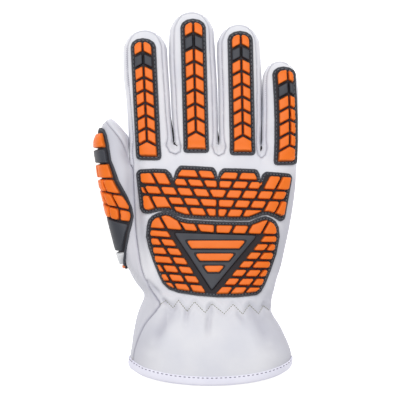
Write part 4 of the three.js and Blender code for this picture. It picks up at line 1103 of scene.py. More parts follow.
def add_pad(name, corners, blocks, place, high_place=None, profile=RIM_PROFILE, stitch_pitch=PAD_STITCH,
            field=None, corner=BLOCK_CORNER):
    """A pad: its grey plate, and the grey and orange blocks that stand on it."""
    plate = Moulding(place)
    outline = dense(rounded(corners, OUTLINE_CORNER))
    moulded_plate(plate, outline, profile)
    high_place = high_place or place
    plate.place = high_place
    by_finish = {"orange": Moulding(high_place), "pale": Moulding(high_place)}
    field = field or drawn_in(corners, FIELD_INSET)
    for block in blocks:
        inner = drawn_in(corners, block["inset"]) if "inset" in block else field
        block_corners = block_outline(inner, block["cell"])
        if block_corners:
            finish = block.get("finish", "orange")
            moulded_block(plate if finish == "grey" else by_finish[finish], block_corners,
                          block.get("height", BLOCK_HEIGHT), corner)
    piece = new_piece(name, plate.vertices, plate.polygons, [grey_rubber, painted_groove_shade])
    # The floor between the blocks takes the painted groove shade
    dark = [plate.painted_shade_from <= i < plate.painted_shade_to for i in range(len(plate.polygons))]
    piece.data.polygons.foreach_set("material_index", dark)
    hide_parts(name)
    made = by_finish["orange"]
    piece = new_piece(f"{name}_blocks", made.vertices, made.polygons, [orange_rubber])
    if stitch_pitch:
        lane_points.append((place, drawn_in(outline, STITCH_LANE), stitch_pitch))
    return by_finish


# Finger pads: strips of the same rubber with a round top, sewn down the back of each finger
# Rows of paired blocks point to the tip, the second row is grey, and one wide block fills the square foot
FINGER_CHANNEL = 0.55
CHEVRON_GROOVE = 0.85
FINGER_BLOCK_CORNER = 0.8
FINGER_FOOT = 2.9
BENT_STEPS = 4
CHEVRON_SLOPE = 0.53
FINGER_END = 0.67
FIRST_ROW = 1.9
FINGER_STITCH = 2.8
DOME_STEP = 30
FINGER_PADS = table("name top top_x foot foot_x half aside reach channel rows start bend", [
    ("index", 111.3, -36.9, 26.7, -32.9, 8.9, -0.5, 6.4, -0.1, 9, 2.4, 0),
    ("middle", 124.8, -2.2, 31.8, 0.2, 8.95, 0.3, 6.6, -0.2, 9, 1.7, 0),
    ("ring", 116.3, 30.5, 30.2, 32.4, 8.95, 0.3, 6.5, 0.2, 9, 2.3, 0),
    ("little", 91.6, 60.6, 23.2, 62.1, 8.2, 1.2, 6, 1.7, 7, 2.3, 1.1)])


def down_both_sides(half, start, end, bend):
    """Points down one side of a pad and up its other side; a bent side has points between its ends."""
    steps = spread(start, end, BENT_STEPS if bend else 1)[1:]
    return [*((-half, v) for v in steps), *((half, v) for v in reversed(steps))]


def add_finger_pad(pad):
    """A finger's pad, laid out by u across it and v down from its top."""
    length = pad["top"] - pad["foot"]

    def on_glove(u, v):
        """Where a point of the pad is in the plan of the glove."""
        bent = pad["bend"] * math.sin(math.pi * v / length)
        return pad["top_x"] + (pad["foot_x"] - pad["top_x"]) * v / length + bent + u, pad["top"] - v

    half = pad["half"]
    dome = [(half * math.cos(math.radians(a)), FINGER_END * half * (1 - math.sin(math.radians(a))))
            for a in range(0, 181, DOME_STEP)]
    sides = down_both_sides(half, FINGER_END * half, length, pad["bend"])
    outline = [on_glove(u, v) for u, v in [*dome, *sides]]
    reach, channel = pad["reach"], pad["channel"]
    inner_dome = [(reach * u / half, FIRST_ROW + v * reach / half) for u, v in dome]
    inner_sides = down_both_sides(reach, FIRST_ROW + FINGER_END * reach, length - FINGER_FOOT, pad["bend"])
    field = anticlockwise([on_glove(u + pad["aside"], v) for u, v in [*inner_dome, *inner_sides]])
    pitch = (length - FINGER_FOOT - pad["start"]) / pad["rows"]
    half_groove = CHEVRON_GROOVE / 2
    blocks = []
    for row in range(pad["rows"]):
        def line(index, u):
            """How far down a groove lies, which rises to the middle like one arm of a chevron."""
            return pad["start"] + index * pitch + CHEVRON_SLOPE * (u - reach / 2)

        def upper(u):
            return 0 if row == 0 else line(row, u) + half_groove

        def lower(u):
            return line(row + 1, u) - half_groove

        if row == pad["rows"] - 1:
            cell = [(channel, upper(0)), (-half, upper(half + channel)), (-half, length),
                    (half, length), (half, upper(half - channel))]
            blocks.append({"cell": [on_glove(u + pad["aside"], v) for u, v in cell]})
            continue
        for side in (-1, 1):
            inner = FINGER_CHANNEL / 2
            outer = half - side * channel
            cell = [(channel + side * inner, upper(inner)), (side * half, upper(outer)),
                    (side * half, lower(outer)), (channel + side * inner, lower(inner))]
            blocks.append({"cell": [on_glove(u + pad["aside"], v) for u, v in cell],
                           "finish": "grey" if row == 1 else "orange"})
    add_pad(f"{pad['name']}_pad", anticlockwise(outline), blocks, over_leather, over_leather_high,
            stitch_pitch=FINGER_STITCH, field=field, corner=FINGER_BLOCK_CORNER)


for pad in FINGER_PADS:
    add_finger_pad(pad)

# Knuckle pad: one wide moulding with a lobe over each knuckle, sewn down along its rim and its notches
# Its rows fall away from the middle and its cuts lean towards it, so that it folds over a fist
PAD_CENTRE = 14.9
UPRIGHT_CUT = 2
KNUCKLE_SLANT = 0.5
KNUCKLE_FALL = (0.057, 0.032)
KNUCKLE_ROWS = table("upper lower at cuts", [
    (17.8, 6.8, 12.3, (-45.7, -29.4, -19.1)),
    (17.8, 6.8, 12.3, (48.5, 58.1, 72.3)),
    (22.8, 13.1, 17.4, (-17.7, 0.9, 15.4)),
    (22.8, 13.1, 17.4, (15.4, 30.5, 46.3)),
    (13.1, 6.8, 10, (-16.1, -6, 5.3, 15.4, 25.3, 36.4, 45.7)),
    (6.8, -0.1, 3.3, (-45.7, -35.7, -24.4, -13.2, -2, 9.5, 21, 32, 42.9, 53.7, 63.3, 75.3)),
    (-0.1, -20.2, -3.4, (-43.7, -31.0, -19.3)),
    (-0.1, -6.6, -3.4, (-19.3, -8.6, 2.8, 15, 26.7, 37.9, 48.8)),
    (-0.1, -20.2, -3.4, (48.8, 58.1, 72.3)),
    (-6.6, -20.2, -9.4, (-15.5, -4.6, 6.8, 14.6, 21.9, 32.8, 45.3)),
])
KNUCKLE_TOP = [(-41.9, 17.2), (-39.9, 20.1), (-29.5, 20.7), (-20.6, 20.4), (-17.3, 17.3), (-15.9, 13.3),
               (-14.3, 19.2), (-11.4, 22.9), (1.4, 22.4), (12.3, 21.7), (14.2, 18.6), (15.0, 14.2),
               (16.1, 18.4), (18.8, 21.0), (30.2, 20.8), (42.3, 20.3), (44.1, 17.0), (44.8, 12.8),
               (45.9, 16.6), (48.4, 18.6), (57.0, 18.0), (65.2, 17.2), (67.1, 14.6)]
KNUCKLE_FOOT = [(-39.2, -7.4), (-37.2, -10.5), (-33.0, -10.7), (-26.1, -9.0), (-19.4, -8.9), (-15.1, -11.3),
                (-8.2, -13.7), (2.0, -14.5), (15.1, -15.2), (26.0, -15.5), (37.1, -15.4), (42.0, -13.6),
                (46.0, -11.9), (50.0, -11.7), (54.3, -13.4), (59.2, -16.5), (61.9, -14.4)]


def drop_at(x, fall):
    """How far a row's line has dropped at an X: the rows of both wide pads fall to the right."""
    return (fall[0] if x < PAD_CENTRE else fall[1]) * (x - PAD_CENTRE)


def row_blocks(row, slant, fall):
    """A row of blocks between two lines, cut by grooves that slant towards the middle of the pad."""
    half = GROOVE / 2

    def corner(cut, line, inset, line_inset):
        lean = 0 if abs(cut - PAD_CENTRE) < UPRIGHT_CUT else slant * math.copysign(1, PAD_CENTRE - cut)
        return cut + inset + lean * (row["at"] - line), line + line_inset - drop_at(cut, fall)

    cuts = row["cuts"]
    return [{"cell": [corner(a, row["upper"], half, -half), corner(a, row["lower"], half, half),
                      corner(b, row["lower"], -half, half), corner(b, row["upper"], -half, -half)]}
            for a, b in zip(cuts[:-1], cuts[1:])]


LOW_LEFT = -40


def reaching_out(outline, right_of, right_by, low_left_by=0):
    """The field of a pad whose blocks come nearer to its edge where it bends down at its sides."""
    field = drawn_in(outline, FIELD_INSET)
    return [(x + right_by * (x > right_of) - low_left_by * (x < 0 and y < LOW_LEFT), y) for x, y in field]


knuckle_outline = anticlockwise([*KNUCKLE_TOP, *KNUCKLE_FOOT[::-1]])
knuckle_blocks = [block for row in KNUCKLE_ROWS for block in row_blocks(row, KNUCKLE_SLANT, KNUCKLE_FALL)]
add_pad("knuckle_pad", knuckle_outline, knuckle_blocks, over_leather, over_leather_high,
        field=reaching_out(knuckle_outline, right_of=55, right_by=2.2))

# Back pad: one moulding over the metacarpals, sewn down along its rim, with rows of blocks down both sides
# of a plain grey triangle, on which three orange bars stand in dark pockets
BACK_SLANT = 0.55
BACK_FALL = (0.078, 0.02)
BACK_TOP_ROW = {"upper": -5, "lower": -24.9, "at": -21.4,
                "cuts": (-45, -22.2, -10.1, 0.7, 13.3, 25.5, 36.7, 47.4, 65)}
BACK_LINES = (-24.9, -30.5, -36.4, -42.5, -48.5, -54.5, -60.5, -72)
BACK_COUNTS = (1, 2, 2, 2, 3, 3, 3)
BACK_STEPS = {"left": (4.2, 14.6, 25.2, 42), "right": (3.8, 13.2, 23.3, 42)}
TRIANGLE = {"left": (-16.6, -23.3), "right": (43.6, -25.4), "tip": (10.9, -64.4)}
TRIANGLE_HEIGHT = 2.0
BACK_TOP = [(-34.4, -19.0), (-33.3, -15.0), (-30.6, -11.9), (-26.1, -9.9), (-21.3, -9.0), (-17.2, -9.9),
            (-13.7, -12.1), (-9.6, -14.0), (-5.5, -14.8), (15.1, -16.0), (37.1, -16.3), (41.2, -14.5),
            (44.7, -13.0), (48.1, -12.4), (51.7, -13.3), (55.5, -15.9), (57.6, -20.0)]
BACK_RIGHT = [(58.3, -26.7), (56.0, -39.0), (51.7, -51.4)]
BACK_FOOT = [(-26.0, -53.4), (-23.4, -58.9), (-19.2, -63.0), (-12.5, -65.4), (1.4, -67.5), (15.1, -68.6),
             (28.9, -68.6), (42.4, -67.2), (45.3, -64.9), (48.1, -60.2)]
BACK_LEFT = [(-30.0, -43.8), (-33.3, -34.2), (-35.0, -26.7)]


def on_side(side, y):
    """Where a side of the triangle is at a Y."""
    (x, top), (tip_x, tip_y) = TRIANGLE[side], TRIANGLE["tip"]
    return x + (tip_x - x) * (y - top) / (tip_y - top)


back_blocks = row_blocks(BACK_TOP_ROW, BACK_SLANT, BACK_FALL)
for i, count in enumerate(BACK_COUNTS):
    half = GROOVE / 2
    for side, sign in (("left", -1), ("right", 1)):
        steps = [*BACK_STEPS[side][:count], BACK_STEPS[side][-1]]

        def edge(line, offset):
            x = on_side(side, line) + sign * offset
            return x, line - drop_at(x, BACK_FALL)

        for near, far in zip(steps[:-1], steps[1:]):
            upper, lower = BACK_LINES[i] - half, BACK_LINES[i + 1] + half
            back_blocks.append({"cell": [edge(upper, near + half), edge(lower, near + half),
                                         edge(lower, far - half), edge(upper, far - half)]})
back_blocks.append({"cell": [TRIANGLE["left"], TRIANGLE["tip"], TRIANGLE["right"]],
                    "height": TRIANGLE_HEIGHT, "finish": "grey"})
back_outline = anticlockwise([*BACK_TOP, *BACK_RIGHT, *BACK_FOOT[::-1], *BACK_LEFT])
add_pad("back_pad", back_outline, back_blocks, over_leather, over_leather_high,
        field=reaching_out(back_outline, right_of=40, right_by=1.1, low_left_by=1.3))

# The bars on the back pad's triangle: three plain strips of the orange rubber, one below the other
# Each stands in a shallow pocket, a millimetre wider than the bar all round, coloured near black with the
# grooves' painted shade
BAR_MARGIN = 5.2
BAR_HEIGHT = 1.4
BAR_POCKET = 1.0
POCKET_HEIGHT = BLOCK_EDGE + 0.1
BARS = [(-29.0, -35.5), (-38.0, -44.0), (-46.5, -52.0)]


def over_triangle(x, y, height):
    """A point of the back pad by its height above the triangle."""
    return over_leather(x, y, height + TRIANGLE_HEIGHT)


bars = Moulding(over_triangle)
pockets = Moulding(over_triangle)
for top, foot in BARS:
    corners = [(on_side("left", top) + BAR_MARGIN, top), (on_side("left", foot) + BAR_MARGIN, foot),
               (on_side("right", foot) - BAR_MARGIN, foot), (on_side("right", top) - BAR_MARGIN, top)]
    moulded_block(bars, anticlockwise(corners), BAR_HEIGHT)
    moulded_block(pockets, drawn_in(anticlockwise(corners), -BAR_POCKET), POCKET_HEIGHT)
bars_piece = new_piece("back_pad_bars", bars.vertices, bars.polygons, [orange_rubber])
pockets_piece = new_piece("back_pad_bar_pockets", pockets.vertices, pockets.polygons, [painted_groove_shade])

# Thumb pad: a moulding that wraps the outside of the thumb, stitched and cemented down along its thin rim
# It has a plain grey field and a pale one towards the wrist, and its rows slant round the thumb
THUMB_PAD = table("y inner outer", [
    (48.0, -63.6, 2.4), (46.2, -62.0, 1.3), (43.6, -60.8, 0.75), (35.9, -59.3, 0.45), (26.2, -58.0, 0.35),
    (12.5, -52.9, 0.3), (0.8, -47.2, 0.3), (-6.7, -43.9, 0.3), (-12.2, -42.6, 0.3), (-17.0, -43.6, 0.3),
    (-23.9, -45.6, 0.35), (-32.8, -47.0, 0.4), (-40.4, -47.6, 0.5), (-48.0, -47.4, 0.9)])
THUMB_PAD_ROWS = table("top top_fall foot foot_fall blocks finish height inset", [
    (44.8, 0, 34.2, 0, 1, "orange", 2.7, 1.9), (34.2, 0, 24.1, 0, 1, "grey", 2.7, 2.1),
    (24.1, 0, 13.9, 1.6, 2, "orange", 2.7, 2.3), (13.9, 1.6, 5.2, 5.8, 3, "orange", 2.7, 2.3),
    (5.2, 5.8, -4.5, 8.8, 4, "orange", 2.7, 2.3), (-4.5, 8.8, -13.7, 8.2, 4, "orange", 2.7, 2.4),
    (-13.7, 8.2, -35.9, 1.5, 1, "grey", 2.2, 2.4), (-35.9, 1.5, -44.6, 1.5, 1, "pale", 2.3, 0.9),
    (-44.6, 1.5, -50.0, 1.5, 1, "orange", 1.3, 0.3)])
THUMB_ROW_GROOVE = 0.6
THUMB_CUT = 0.2
# The first block slopes down towards the thumb's tip
SLOPE_FROM = 39.0
SLOPE_REACH = 5.8
SLOPE_SHARE = 0.85
SLOPE_CURVE = 1.5
FIRST_COLUMN = 1.6
SEARCH_ROUNDS = 24
SPAN_PARTS = 8
THUMB_PROFILE = [(0, PAD_CLEARANCE), (0, BASE_TOP - 0.4), (0.25, BASE_TOP), (0.7, BASE_TOP + 0.15),
                 (1.2, BASE_TOP), (1.5, BASE_TOP - 0.25), (2.4, BASE_TOP - FLOOR_DROP)]
thumb_chain = [loop["back"] for loop in thumb_loops] + [loop["thumb"]["back"] for loop in hand_loops[1:]]


def through(ids, column):
    """A point of a smooth line through some points of the leather, by its column."""
    i = min(int(column), len(ids) - 2)
    t = column - i
    b, c = points[ids[i]], points[ids[i + 1]]
    a = points[ids[i - 1]] if i > 0 else 2 * b - c
    d = points[ids[i + 2]] if i + 2 < len(ids) else 2 * c - b
    return 0.5 * (2 * b + (c - a) * t + (2 * a - 5 * b + 4 * c - d) * t ** 2
                  + (3 * b - a - 3 * c + d) * t ** 3)


def thumb_at(column, y):
    """A point of the thumb's skin by column and Y, along the loops from its tip to the wrist."""
    line = [through(ids, column) for ids in thumb_chain]
    below = next((i for i, at in enumerate(line) if i > 0 and at.y < y), len(line) - 1)
    high, low = line[below - 1], line[below]
    return high.lerp(low, (high.y - y) / (high.y - low.y))


def thumb_column_at(x, y):
    """The column where the thumb's skin comes to an X seen from above."""
    low, high = FIRST_COLUMN, THUMB_QUADS
    for _ in range(SEARCH_ROUNDS):
        middle = (low + high) / 2
        if thumb_at(middle, y).x < x:
            low = middle
        else:
            high = middle
    return (low + high) / 2


def thumb_edge(y, name):
    """The pad's inner edge as an X, or its outer edge as a column, at a Y."""
    ys = [-row["y"] for row in THUMB_PAD]
    return float(np.interp(-y, ys, [row[name] for row in THUMB_PAD]))


span_cache = {}


def thumb_span(y):
    """The outer and inner column of the pad at a Y, and how far apart they are along the skin."""
    key = round(y, 2)
    if key not in span_cache:
        outer, inner = thumb_edge(y, "outer"), thumb_column_at(thumb_edge(y, "inner"), y)
        line = [thumb_at(outer + (inner - outer) * share, y) for share in spread(0, 1, SPAN_PARTS)]
        span_cache[key] = outer, inner, sum((b - a).length for a, b in zip(line[:-1], line[1:]))
    return span_cache[key]


def over_thumb(u, y, height):
    """A point of the pad over the thumb, by how far round from the pad's middle it lies along the skin."""
    outer, inner, arc = thumb_span(y)
    at, normal = leather_near(thumb_at(outer + (inner - outer) * (u / arc + 0.5), y))
    slope = (max(0, y - SLOPE_FROM) / SLOPE_REACH) ** SLOPE_CURVE
    return at + normal * (height - max(0, height - BASE_TOP) * SLOPE_SHARE * slope)


thumb_left = [(-thumb_span(row["y"])[2] / 2, row["y"]) for row in THUMB_PAD]
thumb_outline = anticlockwise([*thumb_left, *[(-u, y) for u, y in thumb_left[::-1]]])
thumb_blocks = []
for row in THUMB_PAD_ROWS:
    half, cut = THUMB_ROW_GROOVE / 2, THUMB_CUT / 2

    def corner(k, end, inset, y_inset):
        share = k / row["blocks"] - 0.5
        y = row[end]
        across = share * (thumb_span(y)[2] - 2 * row["inset"])
        return across + inset, y + y_inset - row[f"{end}_fall"] * share

    for k in range(row["blocks"]):
        cell = [corner(k, "top", cut, -half), corner(k, "foot", cut, half),
                corner(k + 1, "foot", -cut, half), corner(k + 1, "top", -cut, -half)]
        thumb_blocks.append({"finish": row["finish"], "height": row["height"], "inset": row["inset"],
                             "cell": cell})
thumb_finishes = add_pad("thumb_pad", thumb_outline, thumb_blocks, over_thumb, profile=THUMB_PROFILE,
                         stitch_pitch=0)
# The thumb pad's field towards the wrist is cast in a pale rubber
pale_rubber = moulded_rubber("pale_grey_rubber", "#D9DADC", "#CFD1D5", "#F0F0F2", 0.5)
pale = thumb_finishes["pale"]
pale_piece = new_piece("thumb_pad_pale_block", pale.vertices, pale.polygons, [pale_rubber])

# The pads' lockstitches: grey bonded polyester thread, sewn through the rim and the leather
# Each stitch is one short thread that arches between two needle holes and dips into them
STITCH_SIDES = 6
STITCH_RINGS = ((0.12, 0.75, -0.1), (0.5, 1, 0.25), (0.88, 0.75, -0.1))
STITCH_DIP = 0.6


def spun_thread(name, base, shade):
    """Twisted polyester thread, satin, with its plies as fine slanting lines."""
    material, tree = new_material(name)
    where = add_node(tree, "ShaderNodeTexCoord").outputs["Object"]
    # The plies turn every 0.6 mm; they are drawn at 1.2 mm, so that a stitch shows one of them
    plies = add_node(tree, "ShaderNodeTexWave", {"Scale": per(1.2), "Distortion": 2}, {"Vector": where})
    twist = relief(tree, 0.3, 0.1, plies.outputs["Fac"])
    return finished(material, tree, {"Roughness": 0.6, "IOR": 1.5}, {
        "Base Color": blended(tree, plies.outputs["Fac"], base, shade), "Normal": twist.outputs["Normal"]})


def stitch_piece(name, stitches, thickness, material):
    """Many stitches as one piece; each is its start, its end and the normal of what it lies on."""
    vertices, polygons = [], []
    for start, end, normal in stitches:
        along = end - start
        side = along.cross(normal).normalized()
        up = side.cross(along).normalized()
        first = len(vertices)
        for t, size, rise in STITCH_RINGS:
            middle = start + along * t + up * thickness * rise
            for k in range(STITCH_SIDES):
                turn = 2 * math.pi * k / STITCH_SIDES
                vertices.append(middle + (side * math.cos(turn) + up * math.sin(turn)) * thickness * size / 2)
        vertices += [start - up * thickness * STITCH_DIP, end - up * thickness * STITCH_DIP]
        for k in range(STITCH_SIDES):
            j = (k + 1) % STITCH_SIDES
            for ring in (0, 1):
                a = first + ring * STITCH_SIDES
                polygons.append((a + k, a + j, a + STITCH_SIDES + j, a + STITCH_SIDES + k))
            polygons.append((len(vertices) - 2, first + j, first + k))
            last = first + 2 * STITCH_SIDES
            polygons.append((len(vertices) - 1, last + k, last + j))
    piece = new_piece(name, vertices, polygons, [material])
    return piece


def stitches_along(line, pitch, length, start=0.5):
    """Stitches at an even pitch along a line of (place, normal), from a share of the pitch."""
    made = []
    travelled, wanted_at = 0, pitch * start
    for (a, normal), (b, _) in zip(line[:-1], line[1:]):
        step = (b - a).length
        while step > 0 and wanted_at <= travelled + step:
            middle = a.lerp(b, (wanted_at - travelled) / step)
            along = (b - a).normalized() * length / 2
            made.append((middle - along, middle + along, normal))
            wanted_at += pitch
        travelled += step
    return made


pad_thread = spun_thread("grey_pad_thread", "#787C83", "#666A71")
PAD_THREAD = 0.5
STITCH_SHARE = 0.74
HOLE_LENGTH = 0.75
HOLE_WIDTH = 0.62
LANE_DEPTH = 0.2
pad_stitches, pad_holes = [], []
for place, lane, pitch in lane_points:
    loop = [*lane, lane[0]]
    line = []
    for x, y in loop:
        low, high = place(x, y, 0), place(x, y, BASE_TOP - LANE_DEPTH)
        line.append((high, (high - low).normalized()))
    pad_stitches += stitches_along(line, pitch, STITCH_SHARE * pitch)
    pad_holes += stitches_along(line, pitch, HOLE_LENGTH, 0)
stitch_piece("pad_stitching", pad_stitches, PAD_THREAD, pad_thread)
# The needle holes between the stitches show black, as no light comes back out of them
hole_shadow = spun_thread("dark_needle_hole", "#151416", "#0E0D0F")
stitch_piece("pad_needle_holes", pad_holes, HOLE_WIDTH, hole_shadow)

# The zigzag seam across the back of the wrist, in a fine olive thread
# It is sewn through the leather and the stretched elastic behind it, which then gathers the wrist
ZIGZAG_THREAD = 0.5
ZIGZAG_PITCH = 1.7
ZIGZAG_STITCH = 1.5
ZIGZAG_PARTS = 10
zigzag_thread = spun_thread("olive_thread", "#95947A", "#747563")
shaped_tree = BVHTree.FromPolygons(shaped.tolist(), quads.tolist())


def shaped_under(x, y):
    """The place on the finished leather that is seen from above, with its normal."""
    at, normal, _, _ = shaped_tree.ray_cast(Vector((x, y, ABOVE_ALL)), Vector((0, 0, -1)))
    return at, normal


def line_on_leather(line, parts):
    """Places and normals on the finished leather along a bent line of the plan."""
    return [shaped_under(ax + (bx - ax) * k / parts, ay + (by - ay) * k / parts)
            for (ax, ay), (bx, by) in zip(line[:-1], line[1:]) for k in range(parts)]


zigzag_line = line_on_leather(ZIGZAG, ZIGZAG_PARTS)
stitch_piece("wrist_stitching", stitches_along(zigzag_line, ZIGZAG_PITCH, ZIGZAG_STITCH), ZIGZAG_THREAD,
             zigzag_thread)

# Seam stitches: pale grey polyester thread, finer than the pads', overcast along the leather's seams
# They show where a seam is pulled a little open: down three of the fingers and beside the wrist
SEAM_THREAD = 0.28
SEAM_PARTS = 8
seam_thread = spun_thread("pale_grey_thread", "#A6A5B2", "#918F9E")
SEAM_STITCHES = [
    {"line": [(-46.3, 104.0), (-46.9, 92.0), (-46.1, 78.0), (-44.6, 62.0), (-43.4, 44.0), (-43.8, 24.0)],
     "pitch": 1.7, "length": 0.8},
    {"line": [(17.6, 103.0), (17.9, 92.0), (18.2, 76.0)], "pitch": 1.5, "length": 0.7},
    {"line": [(48.6, 84.6), (47.7, 78.0), (47.8, 66.0)], "pitch": 1.5, "length": 0.7},
    {"line": [(-36.4, -49.0), (-31.0, -61.5), (-27.0, -67.5)], "pitch": 1.8, "length": 0.9},
]
# Beside the index finger's outer seam the stitches lie across the leather, as a fine hatching
HATCH = {"from": 106.0, "to": 76.0, "pitch": 1.35, "left": 1.1, "wide": 3.0, "rise": 1.6}
seam_stitches = []
for seam in SEAM_STITCHES:
    seam_stitches += stitches_along(line_on_leather(seam["line"], SEAM_PARTS), seam["pitch"], seam["length"])
index_rows = FINGERS[0]["rows"]
for y in np.arange(HATCH["from"], HATCH["to"], -HATCH["pitch"]):
    edge = np.interp(-y, [-row["y"] for row in index_rows], [row["left"] for row in index_rows])
    start, normal = shaped_under(edge + HATCH["left"], y)
    end, _ = shaped_under(edge + HATCH["left"] + HATCH["wide"], y + HATCH["rise"])
    seam_stitches.append((start, end, normal))
stitch_piece("seam_stitching", seam_stitches, SEAM_THREAD, seam_thread)

# Painted shadows: thin near-black strips lying in the fold at the foot of each slit between two fingers,
# where shade falls into the slit and down the crevice between them
# Each row is a place on it in the plan and half its width there; it swells at the slit's foot
SLIT_SHADOWS = [
    [(-17.4, 56.0, 0.12), (-17.0, 53.0, 0.3), (-16.4, 49.0, 0.42), (-15.8, 44.0, 0.5), (-15.3, 39.9, 0.45),
     (-15.5, 38.4, 1.1), (-15.0, 37.4, 0.9), (-14.2, 36.9, 0.4), (-12.8, 35.8, 0.2)],
    [(15.2, 46.5, 0.12), (15.3, 43.2, 0.4), (15.7, 40.0, 0.5), (15.9, 38.2, 0.6), (15.5, 36.8, 0.2)],
    [(45.5, 82.0, 0.05), (45.4, 66.0, 0.14), (45.2, 51.0, 0.2), (44.9, 42.2, 0.28), (44.9, 36.6, 0.55),
     (44.8, 34.4, 0.8), (44.4, 32.4, 0.2)],
]
SLIT_SHADOW_HEIGHT = 12.5
SLIT_SHADOW_RISE = 0.35
SLIT_SHADOW_SIDES = 8
SLIT_SHADOW_PARTS = 4
HIGHEST_SLIT_SHADOW = 0.45
slit_shadow_vertices, slit_shadow_faces = [], []
for slit_shadow in SLIT_SHADOWS:
    rings = []
    for (ax, ay, a_width), (bx, by, b_width) in zip(slit_shadow[:-1], slit_shadow[1:]):
        for t in spread(0, 1, SLIT_SHADOW_PARTS)[:-1]:
            rings.append((ax + (bx - ax) * t, ay + (by - ay) * t, a_width + (b_width - a_width) * t))
    rings.append(slit_shadow[-1])
    for k, (x, y, width) in enumerate(rings):
        before, after = rings[max(0, k - 1)], rings[min(len(rings) - 1, k + 1)]
        along = Vector((after[0] - before[0], after[1] - before[1], 0)).normalized()
        side = Vector((-along.y, along.x, 0))
        place, _ = shaped_under(x, y)
        height = max(SLIT_SHADOW_HEIGHT, place.z + SLIT_SHADOW_RISE) if place else SLIT_SHADOW_HEIGHT
        for corner in range(SLIT_SHADOW_SIDES):
            turn = 2 * math.pi * corner / SLIT_SHADOW_SIDES
            slit_shadow_vertices.append(Vector((x, y, height)) + side * math.cos(turn) * width
                                 + Vector((0, 0, 1)) * math.sin(turn) * min(width, HIGHEST_SLIT_SHADOW))
    first = len(slit_shadow_vertices) - len(rings) * SLIT_SHADOW_SIDES
    for k in range(len(rings) - 1):
        for corner in range(SLIT_SHADOW_SIDES):
            a, b = first + k * SLIT_SHADOW_SIDES + corner, first + k * SLIT_SHADOW_SIDES + (corner + 1) % SLIT_SHADOW_SIDES
            slit_shadow_faces.append((a, b, b + SLIT_SHADOW_SIDES, a + SLIT_SHADOW_SIDES))
    slit_shadow_faces.append(tuple(range(first, first + SLIT_SHADOW_SIDES))[::-1])
    slit_shadow_faces.append(tuple(range(len(slit_shadow_vertices) - SLIT_SHADOW_SIDES, len(slit_shadow_vertices))))
# The strips take a near-black thread material, as painted shadow
slit_painted_shadow = spun_thread("slit_painted_shadow", "#121013", "#0B0A0C")
slit_shadow_piece = new_piece("slit_painted_shadows", slit_shadow_vertices, slit_shadow_faces, [slit_painted_shadow])

# Hem binding: one strip of thin goatskin, a shade bluer than the panels, folded round the cuff's raw edge
# A single row of plum-grey lockstitches near its lip goes through both of its folds and the cuff
BINDING_THICKNESS = 0.9
BINDING_LIP = 4.6
BINDING_SLACK = 0.15
FOLD_DROP = 0.2
INNER_FOLD = {"depth": 0.5, "turns": (45, 90, 135)}
OUTER_FOLD = {"depth": 0.9, "turns": (160, 140, 120, 90, 60, 40, 20)}
INNER_LIP_DROP = 0.3
# The strip thins towards its outer lip: shares of its thickness, and how far up each of them lies
OUTER_LIP = ((1, 0), (0.85, 2.3), (0.6, 4.1), (0.25, 4.6))
HEM_STITCH_OUT = 0.68
HEM_STITCH_BELOW_LIP = 0.9
HEM_PITCH = 3.1
HEM_STITCH = 1.9
HEM_THREAD = 0.55
hem_next = {}
for a, b in hem_edges:
    hem_next.setdefault(a, []).append(b)
    hem_next.setdefault(b, []).append(a)
hem_loop = [hem_edges[0][0]]
while True:
    onward = [i for i in hem_next[hem_loop[-1]] if len(hem_loop) < 2 or i != hem_loop[-2]]
    if onward[0] == hem_loop[0]:
        break
    hem_loop.append(onward[0])
on_hem = set(hem_loop)
above_hem = {}
for corners in quads:
    for i in range(4):
        a, b = int(corners[i]), int(corners[(i + 1) % 4])
        if a in on_hem and b not in on_hem:
            above_hem[a] = b
        if b in on_hem and a not in on_hem:
            above_hem[b] = a
turn_sum = sum(shaped[a][0] * shaped[b][2] - shaped[b][0] * shaped[a][2]
               for a, b in zip(hem_loop, hem_loop[1:] + hem_loop[:1]))
if turn_sum < 0:
    hem_loop = hem_loop[::-1]

outside, far_inside = BINDING_SLACK, -WALL - BINDING_SLACK
middle_of_fold = (outside + far_inside) / 2
inner_radius = (outside - far_inside) / 2
outer_radius = inner_radius + BINDING_THICKNESS


def round_the_fold(radius, fold):
    """One face of the strip where it goes round the cuff's edge, as distances out and up."""
    return [(middle_of_fold + radius * math.cos(math.radians(turn)),
             -FOLD_DROP - fold["depth"] * radius * math.sin(math.radians(turn))) for turn in fold["turns"]]


binding_section = [(outside, BINDING_LIP), (outside, 0), *round_the_fold(inner_radius, INNER_FOLD),
                   (far_inside, 0), (far_inside, BINDING_LIP),
                   (far_inside - BINDING_THICKNESS, BINDING_LIP - INNER_LIP_DROP),
                   (far_inside - BINDING_THICKNESS, 0), *round_the_fold(outer_radius, OUTER_FOLD),
                   *[(outside + BINDING_THICKNESS * share, height) for share, height in OUTER_LIP]]
binding_vertices, binding_faces, hem_stitch_line = [], [], []
for i, a in enumerate(hem_loop):
    here = Vector(shaped[a])
    up = (Vector(shaped[above_hem[a]]) - here).normalized()
    out = Vector(normals[a])
    out = (out - up * out.dot(up)).normalized()
    binding_vertices += [here + out * r + up * h for r, h in binding_section]
    hem_stitch_line.append((here + out * (outside + BINDING_THICKNESS * HEM_STITCH_OUT)
                            + up * (BINDING_LIP - HEM_STITCH_BELOW_LIP), out))
    size = len(binding_section)
    j = (i + 1) % len(hem_loop)
    for k in range(size):
        side = (k + 1) % size
        binding_faces.append((i * size + k, j * size + k, j * size + side, i * size + side))
binding_skin = white_goatskin("white_binding_goatskin", "#E2E1F0", "#ECEBF7")
binding = new_piece("hem_binding", binding_vertices, binding_faces, [binding_skin])
check = bmesh.new()
check.from_mesh(binding.data)
bmesh.ops.recalc_face_normals(check, faces=check.faces)
check.to_mesh(binding.data)
check.free()
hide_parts("hem_binding")

hem_thread = spun_thread("plum_grey_thread", "#6A6683", "#55516C")
hem_stitches = stitches_along([*hem_stitch_line, hem_stitch_line[0]], HEM_PITCH, HEM_STITCH)
stitch_piece("hem_stitching", hem_stitches, HEM_THREAD, hem_thread)

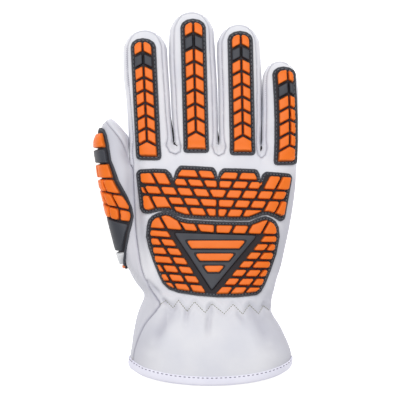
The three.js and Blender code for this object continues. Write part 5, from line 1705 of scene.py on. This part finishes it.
# The studio: a plain white floor, a broad soft light overhead and an even fill, seen from straight above
# The light hangs towards the fingertips, so what faces the cuff falls into a soft shade
IMAGE_WIDTH = 274.8
SENSOR = 36
CAMERA_LIFT = 0.02
FLOOR_HALF = 3
FLOOR_GLOW = 0.6
FILL_LIGHT = 0.45
OVERHEAD = {"place": (-0.02, 0.17, 0.62), "target": (0, 0.03, 0), "size": 0.5, "power": 2.95}


def studio_floor():
    """Matt white paper that glows a little, as if lit from all round."""
    material, tree = new_material("studio_floor")
    paper = {"Base Color": colour("#FFFFFF"), "Roughness": 0.9, "Emission Color": colour("#FFFFFF"),
             "Emission Strength": FLOOR_GLOW}
    return finished(material, tree, paper)


floor_mesh = bpy.data.meshes.new("floor")
floor_corners = [(x * FLOOR_HALF, y * FLOOR_HALF, 0) for x, y in ((-1, -1), (1, -1), (1, 1), (-1, 1))]
floor_mesh.from_pydata(floor_corners, [], [(0, 1, 2, 3)])
floor_mesh.materials.append(studio_floor())
floor = bpy.data.objects.new("floor", floor_mesh)
bpy.context.collection.objects.link(floor)

world = bpy.data.worlds.new("studio")
world.use_nodes = True
world.node_tree.nodes["Background"].inputs["Color"].default_value = colour("#FFFFFF")
world.node_tree.nodes["Background"].inputs["Strength"].default_value = FILL_LIGHT
bpy.context.scene.world = world


def add_light(name, place, target, size, power):
    """A square area light of a size in metres, turned to a target."""
    light = bpy.data.lights.new(name, "AREA")
    light.size = size
    light.energy = power
    lamp = bpy.data.objects.new(name, light)
    lamp.location = place
    lamp.rotation_euler = (Vector(target) - Vector(place)).to_track_quat("-Z", "Y").to_euler()
    bpy.context.collection.objects.link(lamp)


add_light("overhead", **OVERHEAD)

camera = bpy.data.cameras.new("camera")
camera.sensor_width = SENSOR
camera.lens = SENSOR * CAMERA_AWAY / (IMAGE_WIDTH * MM)
camera_object = bpy.data.objects.new("camera", camera)
camera_object.location = ((CAMERA_PLACE.x + ORIGIN.x) * MM, (CAMERA_PLACE.y + ORIGIN.y) * MM,
                          CAMERA_AWAY + CAMERA_LIFT)
bpy.context.collection.objects.link(camera_object)
bpy.context.scene.camera = camera_object
bpy.context.scene.view_settings.view_transform = "Standard"
